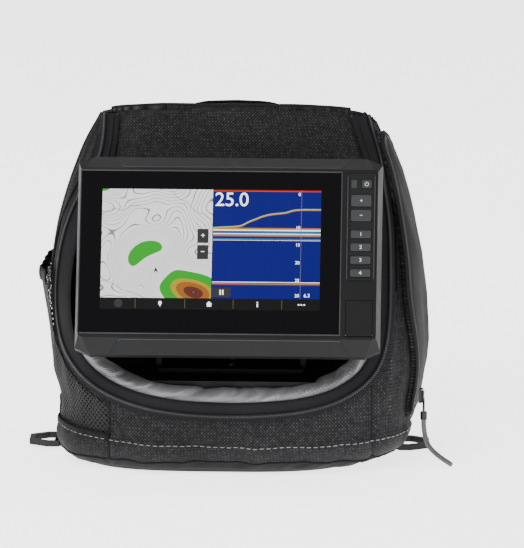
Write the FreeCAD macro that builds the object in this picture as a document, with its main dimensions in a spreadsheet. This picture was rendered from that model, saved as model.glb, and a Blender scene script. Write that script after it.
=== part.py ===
"""Portable fish finder: a tilting sonar display on a bail mount over a battery tray, in a soft zipped bag.

World frame, millimetres: +Z up, -Y towards the user, origin at the centre of the bag's flat base.
The display and its cradle are drawn in their own frame, X right, Y into the display and Z up its face,
and are placed by one Placement that leans them back.
"""

import FreeCAD
import Part
import Sketcher

import math
import os

from FreeCAD import Placement, Rotation, Vector

DIMENSIONS = {
    # display, in its own frame
    "lean": 26, "display_x": 0, "display_y": -100, "display_z": 205.6,
    "face_width": 269.6, "face_height": 158, "shell_width": 276.8, "shell_height": 184.6,
    "corner_x": 14, "corner_z": 6, "slope_depth": 14, "bezel_depth": 24, "split_gap": 0.15,
    "trim_outer": 110, "trim_inner": 99, "trim_edge": 79.6, "trim_shift": 2,
    "glass_x": -16.5, "glass_z": 0.7, "glass_width": 235.4, "glass_height": 149.8, "glass_thick": 1.4,
    "glass_sink": 0.4, "lcd_x": -16, "lcd_z": 3.5, "lcd_width": 203, "lcd_height": 116, "lcd_thick": 2,
    "light_thick": 5, "board_width": 200, "board_height": 110, "board_thick": 1.6, "chip_high": 3,
    "window_width": 226, "window_height": 141,
    # keypad column
    "pad_x": 119.8, "pad_z": 25.3, "pad_width": 26, "pad_height": 100, "pad_proud": 1, "pad_back": 4,
    "key_width": 18.4, "key_proud": 0.9, "key_back": 3.6, "key_play": 0.35, "key_travel": 0.7,
    "power_x": 124.5, "power_z": 65.5, "power_width": 9, "power_height": 7.4,
    "sensor_x": 113, "sensor_width": 5,
    "zoom_in_z": 49.9, "zoom_out_z": 36.1, "zoom_height": 10.6,
    "preset_z": 18.6, "preset_pitch": 12, "preset_height": 7,
    # card door
    "door_x": 119.3, "door_z": -59.5, "door_width": 23.9, "door_height": 33.4, "door_thick": 2.4,
    "door_knuckle": 1.7, "door_gap": 0.4, "door_pin_radius": 0.8, "door_pin_play": 0.05, "door_well": 7,
    # rear housing
    "rear_width": 254, "rear_height": 168, "rear_back_width": 206, "rear_back_height": 122,
    "rear_depth": 36, "rear_wall": 3, "gasket_thick": 1.2, "fin_count": 9, "fin_pitch": 20, "fin_depth": 3,
    "screw_radius": 1.6, "screw_play": 0.3, "screw_span_x": 121, "screw_span_z": 80,
    # cradle and bail, in the display frame and in the world frame
    "cradle_width": 120, "cradle_height": 84, "cradle_depth": 15, "cradle_gap": 0.4,
    "cradle_z": -8, "cheek_thick": 11, "cheek_radius": 11,
    "pivot_depth": 84, "pivot_z": -25, "stud_radius": 4, "stud_play": 0.06,
    "latch_width": 34, "latch_height": 27, "latch_thick": 6, "latch_pin_z": 27, "latch_pin_depth": 70,
    "latch_pin_radius": 1.5, "dock_width": 44, "dock_height": 16, "dock_length": 9,
    "socket_radius": 9, "socket_bore": 6, "socket_length": 11, "socket_x": 28, "socket_z": -2,
    "arm_x": 66, "arm_thick": 5, "arm_width": 26, "bail_front": -60, "bail_depth": 48, "bail_thick": 4,
    "knob_radius": 14, "knob_length": 15, "lobe_radius": 4, "lobe_count": 6,
    "bail_screw_x": 0, "bail_screw_radius": 2.2, "bail_screw_head": 4.2,
    # tray and battery
    "tray_width": 224, "tray_front": -90, "tray_depth": 148, "tray_bottom": 14.6, "tray_top": 80,
    "tray_wall": 3, "tray_round": 22, "boss_radius": 6, "boss_x": 104, "boss_front": -30, "boss_back": 34,
    "lid_thick": 4, "lid_lip": 1.5, "slot_x": 94, "slot_y": -66, "slot_length": 24, "slot_width": 5,
    "lid_screw_radius": 1.7, "lid_screw_head": 4,
    "battery_length": 151, "battery_width": 94, "battery_height": 60, "battery_y": -13,
    "terminal_x": 58, "terminal_size": 6, "strap_width": 38, "strap_thick": 1.6,
    "pad_bottom": 4, "pad_top": 14.3, "pad_centre": -10, "pad_length": 190, "pad_depth": 156,
    # bag
    "wall": 3.6, "base_height": 14, "roundness": 3.2, "ridge_y": 15, "ridge_z": 318, "top_slope": 0.45,
    "seam_left": -108, "seam_right": 130, "split_y": 40, "hem_z": 268, "flap_top": 313.4, "flap_gap": 0.5,
    "zip_width": 9, "zip_proud": 1.2, "tape_width": 7, "tape_sink": 1.2, "tape_thick": 1.8,
    "lining_inset": 13, "lining_gap": 0.6, "lining_thick": 2.2, "lining_top": 130,
    "roll_radius": 8.5, "roll_y": 0.5, "roll_z": 272.5, "roll_left": -90, "roll_right": 92,
    "pocket_out": 8, "pocket_skin": 2.4, "pocket_front": -50, "pocket_back": 80, "pocket_low": 42,
    "pocket_drop": 18, "pocket_zip": 6, "pocket_zip_proud": 0.6,
    "mesh_low": 20, "mesh_high": 166, "mesh_skin": 1.4, "mesh_flat": 1.8, "mesh_bulge": 11,
    "mesh_front": -85, "mesh_back": 85,
    # rings, handle and sliders
    "ring_left": -163, "ring_right": 155, "ring_reach": 23, "ring_long": 38, "ring_short": 20,
    "ring_bar": 5, "ring_floor": 2.4, "tab_width": 25, "tab_thick": 1.6, "tab_play": 0.3,
    "handle_y": 76, "handle_width": 25, "handle_span": 150, "handle_foot": 22, "handle_ramp": 14,
    "handle_thick": 3.4, "handle_rise": 13,
    "slider_length": 13, "slider_width": 8, "slider_thick": 4, "slider_gap": 1.3,
    "side_slider_y": -47, "side_slider_low": 62, "side_slider_travel": 44,
    "front_slider_high": 256, "front_slider_low": 232,
    "pull_ring_radius": 6, "pull_ring_hole": 3.4, "pull_ring_thick": 2, "knot_radius": 3.2, "knot_length": 7,
    "pull_x": 176.5, "pull_ring_z": 50.5, "cord_radius": 2.3,
    "tab_pull_width": 5, "tab_pull_thick": 1.6, "tab_pull_length": 12,
}

# Bag stations: height, then the reach to the left, right, front and back
STATIONS = [
    (0, 140, 118, 96, 98), (14, 157, 150, 108, 111), (40, 156, 162, 112, 116), (80, 158, 168, 107, 117),
    (120, 162, 169, 98, 117), (170, 165, 165, 80, 115), (220, 158, 155, 52, 113), (262, 143, 141, 20, 110),
    (295, 126, 127, -2, 106), (326, 114, 106, -19, 100),
]

# Front opening, seen from the front: x and z along the zip, from the ridge down, round and up again
OPENING = [
    (-118, 332), (-118.5, 296), (-123, 270), (-135, 248), (-150, 215), (-158, 175), (-158, 135),
    (-148, 102),
    (-120, 77), (-75, 62),
    (-25, 56.5), (25, 56.5), (75, 62), (112, 75), (136, 98), (144, 135), (144.5, 180), (142, 220),
    (137, 248), (133, 270), (124, 296), (111, 332),
]

# Pull cord of the side zip: corners of its route from the knot down, as offsets from the knot's lower end
PULL_ROUTE = [(0, 0, 0), (0, 0, -15), (8, -7.5, -30), (26, -23, -36.7)]

doc = FreeCAD.newDocument("fish_finder")
sheet = doc.addObject("Spreadsheet::Sheet", "dims")
for row, (alias, value) in enumerate(DIMENSIONS.items(), start=1):
    sheet.set(f"A{row}", alias)
    sheet.set(f"B{row}", str(value))
    sheet.setAlias(f"B{row}", alias)
doc.recompute()

exported = []


def dim(alias):
    """The sheet's value of one driving dimension."""
    return float(sheet.get(alias))


def bind(item, path, formula):
    """Ties one property to the sheet: every word of the formula is an alias or a plain number."""
    words = []
    for word in str(formula).split():
        words.append(f"dims.{word}" if word in DIMENSIONS else word)
    item.setExpression(path, " ".join(words))


def display_placement():
    """Where the display's own frame stands in the world: leaned back about X."""
    centre = Vector(dim("display_x"), dim("display_y"), dim("display_z"))
    return Placement(centre, Rotation(Vector(1, 0, 0), -dim("lean")))


def keep(item, label, placed=False):
    """Marks one sub-part for export, leaned back with the display if placed."""
    item.Label = label
    if placed:
        item.Placement = display_placement()
    exported.append(item)
    return item


def rectangle(sketch, x, z, width, height):
    """Adds a constrained rectangle; its centre offsets and sizes are formulas of the sheet."""
    first = sketch.GeometryCount
    half_w, half_h = 5, 3
    corners = [Vector(-half_w, -half_h), Vector(half_w, -half_h), Vector(half_w, half_h),
               Vector(-half_w, half_h)]
    for i in range(4):
        sketch.addGeometry(Part.LineSegment(corners[i], corners[(i + 1) % 4]))
    for i in range(4):
        sketch.addConstraint(Sketcher.Constraint("Coincident", first + i, 2, first + (i + 1) % 4, 1))
        sketch.addConstraint(Sketcher.Constraint("Vertical" if i % 2 else "Horizontal", first + i))
    sizes = [("DistanceX", -1, 1, first, 1, f"( {x} ) - ( {width} ) / 2"),
             ("DistanceY", -1, 1, first, 1, f"( {z} ) - ( {height} ) / 2"),
             ("DistanceX", first, 1, first, 2, width), ("DistanceY", first + 1, 1, first + 1, 2, height)]
    for kind, a, a_end, b, b_end, formula in sizes:
        start = -1.0 if a == -1 else 6.0
        index = sketch.addConstraint(Sketcher.Constraint(kind, a, a_end, b, b_end, start))
        bind(sketch, f"Constraints[{index}]", formula)


def sketch_on(body, role, name, offset="0"):
    """A sketch on one of the body's own origin planes, moved along the plane's normal."""
    plane = next(f for f in body.Origin.OriginFeatures if f.Role == role)
    sketch = body.newObject("Sketcher::SketchObject", name)
    sketch.AttachmentSupport = (plane, [""])
    sketch.MapMode = "FlatFace"
    bind(sketch, "AttachmentOffset.Base.z", offset)
    return sketch


def plate(name, rectangles, start, thick, role="XZ_Plane", round_edges=0):
    """A body padded from rectangles. It runs from start along +Y (XZ plane) or +Z (XY plane)."""
    body = doc.addObject("PartDesign::Body", name)
    facing = role == "XZ_Plane"
    sketch = sketch_on(body, role, name + "_outline", f"- ( {start} )" if facing else start)
    for spec in rectangles:
        rectangle(sketch, *spec)
    pad = body.newObject("PartDesign::Pad", name + "_pad")
    pad.Profile = sketch
    pad.Reversed = facing
    bind(pad, "Length", thick)
    doc.recompute()
    if round_edges:
        along = Vector(0, 1, 0) if facing else Vector(0, 0, 1)
        edges = [f"Edge{i}" for i, edge in enumerate(pad.Shape.Edges, start=1)
                 if abs(abs(edge.tangentAt(edge.FirstParameter).dot(along)) - 1) < 1e-6]
        fillet = body.newObject("PartDesign::Fillet", name + "_rounds")
        fillet.Base = (pad, edges)
        fillet.Radius = round_edges
    return body


def pocket(body, name, rectangles, start, depth, role="XZ_Plane"):
    """Cuts rectangles into a body, from start along +Y (XZ plane) or down from start (XY plane)."""
    facing = role == "XZ_Plane"
    sketch = sketch_on(body, role, name + "_outline", f"- ( {start} )" if facing else start)
    for spec in rectangles:
        rectangle(sketch, *spec)
    before = body.Shape.Volume
    cut = body.newObject("PartDesign::Pocket", name)
    cut.Profile = sketch
    bind(cut, "Length", depth)
    doc.recompute()
    if not body.Shape.Volume < before:
        raise ValueError(f"{name} cuts nothing")
    return cut


def rod(name, radius, height, base, direction):
    """A Part::Cylinder whose radius and height follow the sheet."""
    cylinder = doc.addObject("Part::Cylinder", name)
    bind(cylinder, "Radius", radius)
    bind(cylinder, "Height", height)
    cylinder.Placement = Placement(Vector(*base), Rotation(Vector(0, 0, 1), Vector(*direction)))
    return cylinder


def combine(kind, name, base, tool):
    """A Part::Cut, Part::Common or Part::Fuse of two objects."""
    result = doc.addObject(f"Part::{kind}", name)
    result.Base = base
    result.Tool = tool
    return result


def solid_feature(name, shape):
    """A Part::Feature for a surface that sketches can't give."""
    item = doc.addObject("Part::Feature", name)
    item.Shape = shape
    return item


# ---------------------------------------------------------------- display shell

def octagon(width, height, cut_x, cut_z, depth):
    """A rectangle with cut corners, facing the user, at one depth of the display's frame."""
    w, h = width / 2, height / 2
    corners = [(-w + cut_x, h), (w - cut_x, h), (w, h - cut_z), (w, -h + cut_z),
               (w - cut_x, -h), (-w + cut_x, -h), (-w, -h + cut_z), (-w, h - cut_z)]
    points = [Vector(x, depth, z) for x, z in corners]
    return Part.makePolygon(points + points[:1])


def tapered(front, rear):
    """A ruled solid between two outlines."""
    return Part.makeLoft([front, rear], True, True)


def bezel_blank():
    """Sloped front frame before its windows are cut."""
    cut = (dim("corner_x"), dim("corner_z"))
    face = octagon(dim("face_width"), dim("face_height"), cut[0] / 4, cut[1] / 3, 0)
    edge = octagon(dim("shell_width"), dim("shell_height"), *cut, dim("slope_depth"))
    back = octagon(dim("shell_width"), dim("shell_height"), *cut, dim("bezel_depth"))
    return tapered(face, edge).fuse(tapered(edge, back)).removeSplitter()


def trim_prism(side, grow):
    """The wedge of the slope that a snap-on trim takes: side is 1 for the top and -1 for the bottom."""
    shift, inner, outer = dim("trim_shift"), dim("trim_inner") + grow, dim("trim_outer") + grow
    low, high = dim("trim_edge") - grow, dim("shell_height")
    corners = [(shift - inner, low), (shift + inner, low), (shift + outer, dim("shell_height") / 2),
               (shift + outer, high), (shift - outer, high), (shift - outer, dim("shell_height") / 2)]
    points = [Vector(x, -1, side * z) for x, z in corners]
    face = Part.Face(Part.makePolygon(points + points[:1]))
    return face.extrude(Vector(0, dim("bezel_depth") + 2, 0))


def make_bezel():
    blank = solid_feature("bezel_blank", bezel_blank())
    cuts = [trim_prism(1, dim("split_gap")), trim_prism(-1, dim("split_gap"))]
    trims = solid_feature("trim_notches", Part.makeCompound(cuts))
    notched = combine("Cut", "bezel_notched", blank, trims)
    wells = doc.addObject("Part::MultiFuse", "bezel_wells")
    wells.Shapes = [
        block("glass_seat", "glass_x", "glass_z", "glass_width + 0.3", "glass_height + 0.3", "-1",
              "1 + glass_sink + glass_thick"),
        block("lcd_window", "glass_x", "glass_z", "window_width", "window_height", "-1", "bezel_depth + 2"),
        block("key_window", "pad_x", "pad_z", "pad_width + 0.3", "pad_height + 0.3", "-1",
              "bezel_depth + 2"),
        block("door_well_cut", "door_x", "door_z", "door_width + 2 * door_gap",
              "door_height + 2 * door_gap",
              "-1", "1 + door_well"),
        block("card_window", "door_x", "door_z + 3", "door_width - 3", "door_height - 10", "0",
              "bezel_depth + 2"),
    ]
    windowed = combine("Cut", "bezel_windowed", notched, wells)
    keep(combine("Cut", "front_bezel", windowed, screw_group("bezel_screw_holes", "screw_play", 14)),
         "front_bezel", placed=True)
    for name, side in (("top_trim_cap", 1), ("bottom_trim_cap", -1)):
        wedge = solid_feature(name + "_wedge", trim_prism(side, 0))
        cap = combine("Common", name + "_blank", blank, wedge)
        keep(combine("Cut", name, cap, screw_group(name + "_holes", "screw_play", 14)), name, placed=True)


def block(name, x, z, width, height, start, depth):
    """A Part::Box in the display's frame, by its centre in X and Z and its start in Y."""
    box = doc.addObject("Part::Box", name)
    bind(box, "Length", width)
    bind(box, "Width", depth)
    bind(box, "Height", height)
    bind(box, "Placement.Base.x", f"( {x} ) - ( {width} ) / 2")
    bind(box, "Placement.Base.y", start)
    bind(box, "Placement.Base.z", f"( {z} ) - ( {height} ) / 2")
    return box


def screw_group(name, extra, start, head=False):
    """Six screws, or the holes for them, that run from the rear flange into the bezel."""
    end = dim("bezel_depth") + dim("gasket_thick") + dim("rear_wall")
    made = []
    for column in (-1, 0, 1):
        for side in (-1, 1):
            base = Vector(column * dim("screw_span_x"), start, side * dim("screw_span_z"))
            grow = dim(extra) if extra else 0
            made.append(Part.makeCylinder(dim("screw_radius") + grow, end - start, base, Vector(0, 1, 0)))
            if head:
                top = base + Vector(0, end - start, 0)
                cap = Part.makeCylinder(dim("screw_radius") * 1.8, 1.8, top, Vector(0, 1, 0))
                made[-1] = made[-1].fuse(cap)
    return solid_feature(name, Part.makeCompound(made))


def make_rear_housing():
    """Rear shell with a flange, a tapered back and cooling fins."""
    start = dim("bezel_depth") + dim("gasket_thick")
    wall, depth = dim("rear_wall"), dim("rear_depth")
    flange = tapered(octagon(dim("rear_width"), dim("rear_height"), 12, 6, start),
                     octagon(dim("rear_width"), dim("rear_height"), 12, 6, start + wall))
    outer = tapered(octagon(dim("rear_width") - 16, dim("rear_height") - 14, 10, 8, start),
                    octagon(dim("rear_back_width"), dim("rear_back_height"), 10, 8, start + depth))
    inner = tapered(octagon(dim("rear_width") - 24, dim("rear_height") - 22, 9, 7, start),
                    octagon(dim("rear_back_width") - 8, dim("rear_back_height") - 8, 9, 7,
                            start + depth - wall))
    shell = solid_feature("rear_shell", flange.fuse(outer).cut(inner))
    fins = doc.addObject("Part::Compound", "fin_slots")
    slots = []
    for i in range(int(dim("fin_count"))):
        x = (i - (dim("fin_count") - 1) / 2) * dim("fin_pitch")
        for side in (-1, 1):
            z = side * (dim("rear_back_height") / 2 - 4)
            slots.append(block(f"fin_slot_{i}_{'high' if side > 0 else 'low'}", str(x), str(z),
                               "fin_pitch / 2",
                               "22", str(start + depth - 1.6), "fin_depth"))
    fins.Links = slots
    finned = combine("Cut", "rear_finned", shell, fins)
    keep(combine("Cut", "rear_housing", finned, screw_group("rear_screw_holes", "screw_play", start - 1)),
         "rear_housing", placed=True)
    keep(screw_group("housing_screws", None, 15, head=True), "housing_screws", placed=True)
    band = octagon(dim("rear_width"), dim("rear_height"), 12, 6, start - dim("gasket_thick"))
    hole = octagon(dim("rear_width") - 24, dim("rear_height") - 22, 9, 7, start - dim("gasket_thick"))
    ring = Part.Face(band).cut(Part.Face(hole)).extrude(Vector(0, dim("gasket_thick"), 0))
    gasket = solid_feature("gasket_ring", ring)
    holes = screw_group("gasket_screw_holes", "screw_play", 20)
    keep(combine("Cut", "housing_gasket", gasket, holes), "housing_gasket", placed=True)


def make_screen_stack():
    """Glass, display panel, light frame and main board, one behind another."""
    glass = plate("touch_glass", [("glass_x", "glass_z", "glass_width", "glass_height")], "glass_sink",
                  "glass_thick", round_edges=3)
    keep(glass, "touch_glass", placed=True)
    panel_start = "glass_sink + glass_thick + 0.3"
    keep(plate("lcd_panel", [("lcd_x", "lcd_z", "lcd_width", "lcd_height")], panel_start, "lcd_thick"),
         "lcd_panel", placed=True)
    keep(plate("backlight_frame", [("lcd_x", "lcd_z", "lcd_width + 6", "lcd_height + 6")],
               f"{panel_start} + lcd_thick + 0.2", "light_thick"), "backlight_frame", placed=True)
    board_start = "bezel_depth - 7"
    board = plate("main_board", [("lcd_x", "lcd_z", "board_width", "board_height")], board_start,
                  "board_thick")
    sketch = sketch_on(board, "XZ_Plane", "chip_outlines", f"- ( {board_start} + board_thick )")
    chips = ((-60, 20, 34, 34), (-10, 24, 22, 22), (40, 18, 46, 30), (-50, -30, 60, 12), (40, -28, 30, 18))
    for x, z, width, height in chips:
        rectangle(sketch, str(x), str(z), str(width), str(height))
    pad = board.newObject("PartDesign::Pad", "chips")
    pad.Profile = sketch
    pad.Reversed = True
    bind(pad, "Length", "chip_high")
    keep(board, "main_board", placed=True)


# ---------------------------------------------------------------- keys and card door

def key_list():
    """Label, x, z, width and height of every key, as formulas."""
    keys = [("power_key", "power_x", "power_z", "power_width", "power_height"),
            ("zoom_in_key", "pad_x", "zoom_in_z", "key_width", "zoom_height"),
            ("zoom_out_key", "pad_x", "zoom_out_z", "key_width", "zoom_height")]
    for i in range(4):
        keys.append((f"preset_key_{i + 1}", "pad_x", f"preset_z - {i} * preset_pitch", "key_width",
                     "preset_height"))
    return keys


def make_keypad():
    surround = plate("key_surround", [("pad_x", "pad_z", "pad_width", "pad_height")], "0", "pad_back")
    rim = sketch_on(surround, "XZ_Plane", "rim_outline", "0")
    rectangle(rim, "pad_x - pad_width / 2 + 1.2", "pad_z", "1.6", "pad_height - 2")
    rectangle(rim, "pad_x + pad_width / 2 - 1.2", "pad_z", "1.6", "pad_height - 2")
    rectangle(rim, "pad_x", "pad_z - pad_height / 2 + 1.4", "pad_width - 4.4", "1.6")
    raised = surround.newObject("PartDesign::Pad", "rim")
    raised.Profile = rim
    bind(raised, "Length", "pad_proud")
    doc.recompute()
    holes = [(x, z, f"{w} + 2 * key_play", f"{h} + 2 * key_play") for _, x, z, w, h in key_list()]
    pocket(surround, "key_holes", holes, "0", "pad_back + 1")
    pocket(surround, "sensor_hole", [("sensor_x", "power_z", "sensor_width + 0.2", "power_height + 0.2")],
           "0",
           "pad_back + 1")
    keep(surround, "key_surround", placed=True)
    for label, x, z, width, height in key_list():
        key = plate(label, [(x, z, width, height)], "- key_proud", "key_proud + key_back", round_edges=1.2)
        keep(key, label, placed=True)
    window = plate("light_sensor_window", [("sensor_x", "power_z", "sensor_width", "power_height")], "-0.2",
                   "2")
    keep(window, "light_sensor_window", placed=True)
    mat = plate("key_membrane", [("pad_x", "pad_z", "pad_width - 2", "pad_height - 2")],
                "pad_back + key_travel + 0.3", "1")
    keep(mat, "key_membrane", placed=True)
    keep(plate("key_board", [("pad_x", "pad_z", "pad_width - 2", "pad_height - 2")],
               "pad_back + key_travel + 2.6", "board_thick"), "key_board", placed=True)


def make_card_door():
    """A door in the bezel's lower corner that turns about a pin along its lower edge."""
    leaf = plate("door_leaf",
                 [("door_x", "door_z + door_knuckle / 2", "door_width", "door_height - door_knuckle")],
                 "0.2", "door_thick")
    left = dim("door_x") - dim("door_width") / 2
    pin_z = dim("door_z") - dim("door_height") / 2 + dim("door_knuckle")
    pin_y = 0.2 + dim("door_knuckle")
    knuckle = rod("door_edge", "door_knuckle", "door_width", (left, pin_y, pin_z), (1, 0, 0))
    bore = rod("door_bore", "door_pin_radius + door_pin_play", "door_width + 8", (left - 4, pin_y, pin_z),
               (1, 0, 0))
    door = combine("Fuse", "door_with_edge", leaf, knuckle)
    keep(combine("Cut", "card_door", door, bore), "card_door", placed=True)
    pin = rod("card_door_pin", "door_pin_radius", "door_width + 4", (left - 2, pin_y, pin_z), (1, 0, 0))
    pin.Placement = display_placement().multiply(pin.Placement)
    keep(pin, "card_door_pin")
    socket = plate("card_socket", [("door_x", "door_z + 3", "door_width - 4", "door_height - 11")],
                   "door_well + 1", "9")
    pocket(socket, "card_slots", [("door_x", "door_z + 8", "12", "1.4"),
                                  ("door_x", "door_z - 2", "12", "1.4")],
           "door_well + 1", "7")
    keep(socket, "card_socket", placed=True)


make_bezel()
make_screen_stack()
make_rear_housing()
make_keypad()
make_card_door()


# ---------------------------------------------------------------- cradle and bail

def ring_of(count, radius):
    """Evenly spaced points on a circle, as pairs."""
    return [(radius * math.cos(2 * math.pi * i / count), radius * math.sin(2 * math.pi * i / count))
            for i in range(count)]


def make_dock():
    """The plug on the display's back that the cradle takes."""
    start = dim("bezel_depth") + dim("gasket_thick") + dim("rear_depth")
    plug = plate("dock_plug", [("0", "cradle_z", "dock_width", "dock_height")], str(start), "dock_length",
                 round_edges=3)
    pins = [(f"{x}", "cradle_z", "3", "dock_height - 7") for x in (-15, -9, -3, 3, 9, 15)]
    pocket(plug, "dock_contacts", pins,
           f"{start} + dock_length - 4", "4.5")
    keep(plug, "dock_plug", placed=True)


def make_cradle():
    """Quick-release cradle: a plate with cheeks at its sides, a recess for the plug and a latch notch."""
    start = dim("bezel_depth") + dim("gasket_thick") + dim("rear_depth") + dim("cradle_gap")
    base = plate("cradle_plate", [("0", "cradle_z", "cradle_width", "cradle_height")], str(start),
                 "cradle_depth", round_edges=6)
    pocket(base, "dock_recess", [("0", "cradle_z", "dock_width + 1.2", "dock_height + 1.2")],
           str(start - 1),
           "dock_length + 1")
    pocket(base, "latch_notch", [("0", "latch_pin_z + 6", "latch_width + 1", "26")], str(start - 1),
           "cradle_depth + 2")
    pocket(base, "rear_hollows", [("-36", "cradle_z - 25", "38", "24"),
                                  ("36", "cradle_z - 25", "38", "24")],
           str(start + dim("cradle_depth") - 9), "10")
    solids = [base]
    for side, word in ((-1, "left"), (1, "right")):
        edge = f"{side} * ( cradle_width / 2 - cheek_thick / 2 + 3 )"
        solids.append(block(f"cheek_{word}", edge, "pivot_z", "cheek_thick", "2 * cheek_radius",
                            str(start), f"pivot_depth - {start}"))
        first = side * (dim("cradle_width") / 2 + 3) - (dim("cheek_thick") if side > 0 else 0)
        solids.append(rod(f"cheek_end_{word}", "cheek_radius", "cheek_thick",
                          (first, dim("pivot_depth"), dim("pivot_z")), (1, 0, 0)))
    fused = doc.addObject("Part::MultiFuse", "cradle_solid")
    fused.Shapes = solids
    half = dim("cradle_width") / 2 + 8
    bore = rod("cradle_bore", "stud_radius + stud_play", str(2 * half),
               (-half, dim("pivot_depth"), dim("pivot_z")),
               (1, 0, 0))
    pin_half = dim("latch_width") / 2 + 3
    pin_bore = rod("latch_bore", "latch_pin_radius + stud_play", str(2 * pin_half),
                   (-pin_half, dim("latch_pin_depth"), dim("latch_pin_z")), (1, 0, 0))
    bores = combine("Fuse", "cradle_bores", bore, pin_bore)
    keep(combine("Cut", "cradle", fused, bores), "cradle", placed=True)


def make_latch():
    """A lever at the cradle's top, with its pin moulded on."""
    lever = block("latch_lever", "0", "latch_pin_z + latch_height / 2 - 6", "latch_width", "latch_height",
                  "latch_pin_depth - latch_thick / 2", "latch_thick")
    thumb = block("latch_thumb", "0", "latch_pin_z + latch_height - 8.5", "latch_width", "5",
                  "latch_pin_depth - latch_thick / 2", "latch_thick + 7")
    pin_half = dim("latch_width") / 2 + 2.4
    pin = rod("latch_pin", "latch_pin_radius", str(2 * pin_half),
              (-pin_half, dim("latch_pin_depth"), dim("latch_pin_z")), (1, 0, 0))
    fused = doc.addObject("Part::MultiFuse", "cradle_latch")
    fused.Shapes = [lever, thumb, pin]
    keep(fused, "cradle_latch", placed=True)


def make_sockets():
    """Round cable sockets on the cradle's back, with their pins in a bore."""
    start = dim("bezel_depth") + dim("gasket_thick") + dim("rear_depth") + dim("cradle_gap") + dim("cradle_depth")
    for label, side, pins in (("power_socket", 1, 5), ("sonar_socket", -1, 9)):
        place = (side * dim("socket_x"), start, dim("socket_z"))
        body = rod(label + "_body", "socket_radius", "socket_length", place, (0, 1, 0))
        bore = rod(label + "_bore", "socket_bore", "socket_length", (place[0], start + 3, place[2]),
                   (0, 1, 0))
        cup = combine("Cut", label + "_cup", body, bore)
        made = [rod(f"{label}_pin_{i}", "0.6", "socket_length - 4",
                    (place[0] + dx, start + 2, place[2] + dz),
                    (0, 1, 0)) for i, (dx, dz) in enumerate(ring_of(pins, 3.6))]
        fused = doc.addObject("Part::MultiFuse", label)
        fused.Shapes = [cup] + made
        keep(fused, label, placed=True)


def pivot():
    """The tilt axis, in the world."""
    return display_placement().multVec(Vector(0, dim("pivot_depth"), dim("pivot_z")))


def make_bail():
    """U-shaped bracket: a base plate on the tray's lid and two arms up to the tilt axis."""
    centre = pivot()
    floor = dim("tray_top") + dim("lid_thick")
    base = plate("bail_base", [("display_x", "bail_front + bail_depth / 2", "2 * arm_x + arm_thick",
                                "bail_depth")], str(floor), "bail_thick", role="XY_Plane", round_edges=4)
    pieces = [base]
    for side, word in ((-1, "left"), (1, "right")):
        pieces.append(block(f"arm_{word}", f"display_x + {side} * arm_x", f"( {centre.z} + {floor} ) / 2",
                            "arm_thick", f"{centre.z} - {floor}", f"{centre.y} - arm_width / 2", "arm_width"))
        first = dim("display_x") + side * dim("arm_x") - dim("arm_thick") / 2
        pieces.append(rod(f"arm_end_{word}", "arm_width / 2", "arm_thick", (first, centre.y, centre.z),
                          (1, 0, 0)))
    fused = doc.addObject("Part::MultiFuse", "bail_solid")
    fused.Shapes = pieces
    half = dim("arm_x") + 10
    bore = rod("bail_bore", "stud_radius + stud_play", str(2 * half),
               (dim("display_x") - half, centre.y, centre.z), (1, 0, 0))
    holes = [bore]
    for i, y in enumerate((centre.y - 10, centre.y + 10)):
        holes.append(rod(f"bail_hole_{i}", "bail_screw_radius + screw_play", "bail_thick + 2",
                         (dim("bail_screw_x"), y, floor - 1), (0, 0, 1)))
    cuts = doc.addObject("Part::MultiFuse", "bail_holes")
    cuts.Shapes = holes
    keep(combine("Cut", "bail_bracket", fused, cuts), "bail_bracket")
    screws = []
    for i, y in enumerate((centre.y - 10, centre.y + 10)):
        place = (dim("bail_screw_x"), y, floor - 3.6)
        shank = rod(f"bail_shank_{i}", "bail_screw_radius", "bail_thick + 3.6", place, (0, 0, 1))
        head = rod(f"bail_head_{i}", "bail_screw_head", "2.2", (place[0], y, floor + dim("bail_thick")),
                   (0, 0, 1))
        screws.append(combine("Fuse", f"bail_screw_{i}", shank, head))
    return screws


def make_knobs():
    """Lobed tilt knobs whose studs run through the bail's arms into the cradle's cheeks."""
    centre = pivot()
    for side, word in ((-1, "left"), (1, "right")):
        face = dim("display_x") + side * (dim("arm_x") + dim("arm_thick") / 2 + 0.3)
        outward = (side, 0, 0)
        head = rod(f"knob_core_{word}", "knob_radius", "knob_length", (face, centre.y, centre.z), outward)
        lobes = [rod(f"knob_lobe_{word}_{i}", "lobe_radius", "knob_length - 2",
                     (face, centre.y + dy, centre.z + dz), outward)
                 for i, (dy, dz) in enumerate(ring_of(int(dim("lobe_count")), dim("knob_radius")))]
        reach = dim("arm_thick") + dim("cheek_thick") + 1
        stud = rod(f"knob_stud_{word}", "stud_radius", str(reach + 2),
                   (face - side * reach, centre.y, centre.z), outward)
        fused = doc.addObject("Part::MultiFuse", f"tilt_knob_{word}")
        fused.Shapes = [head, stud] + lobes
        keep(fused, f"tilt_knob_{word}")


# ---------------------------------------------------------------- tray and battery

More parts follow.
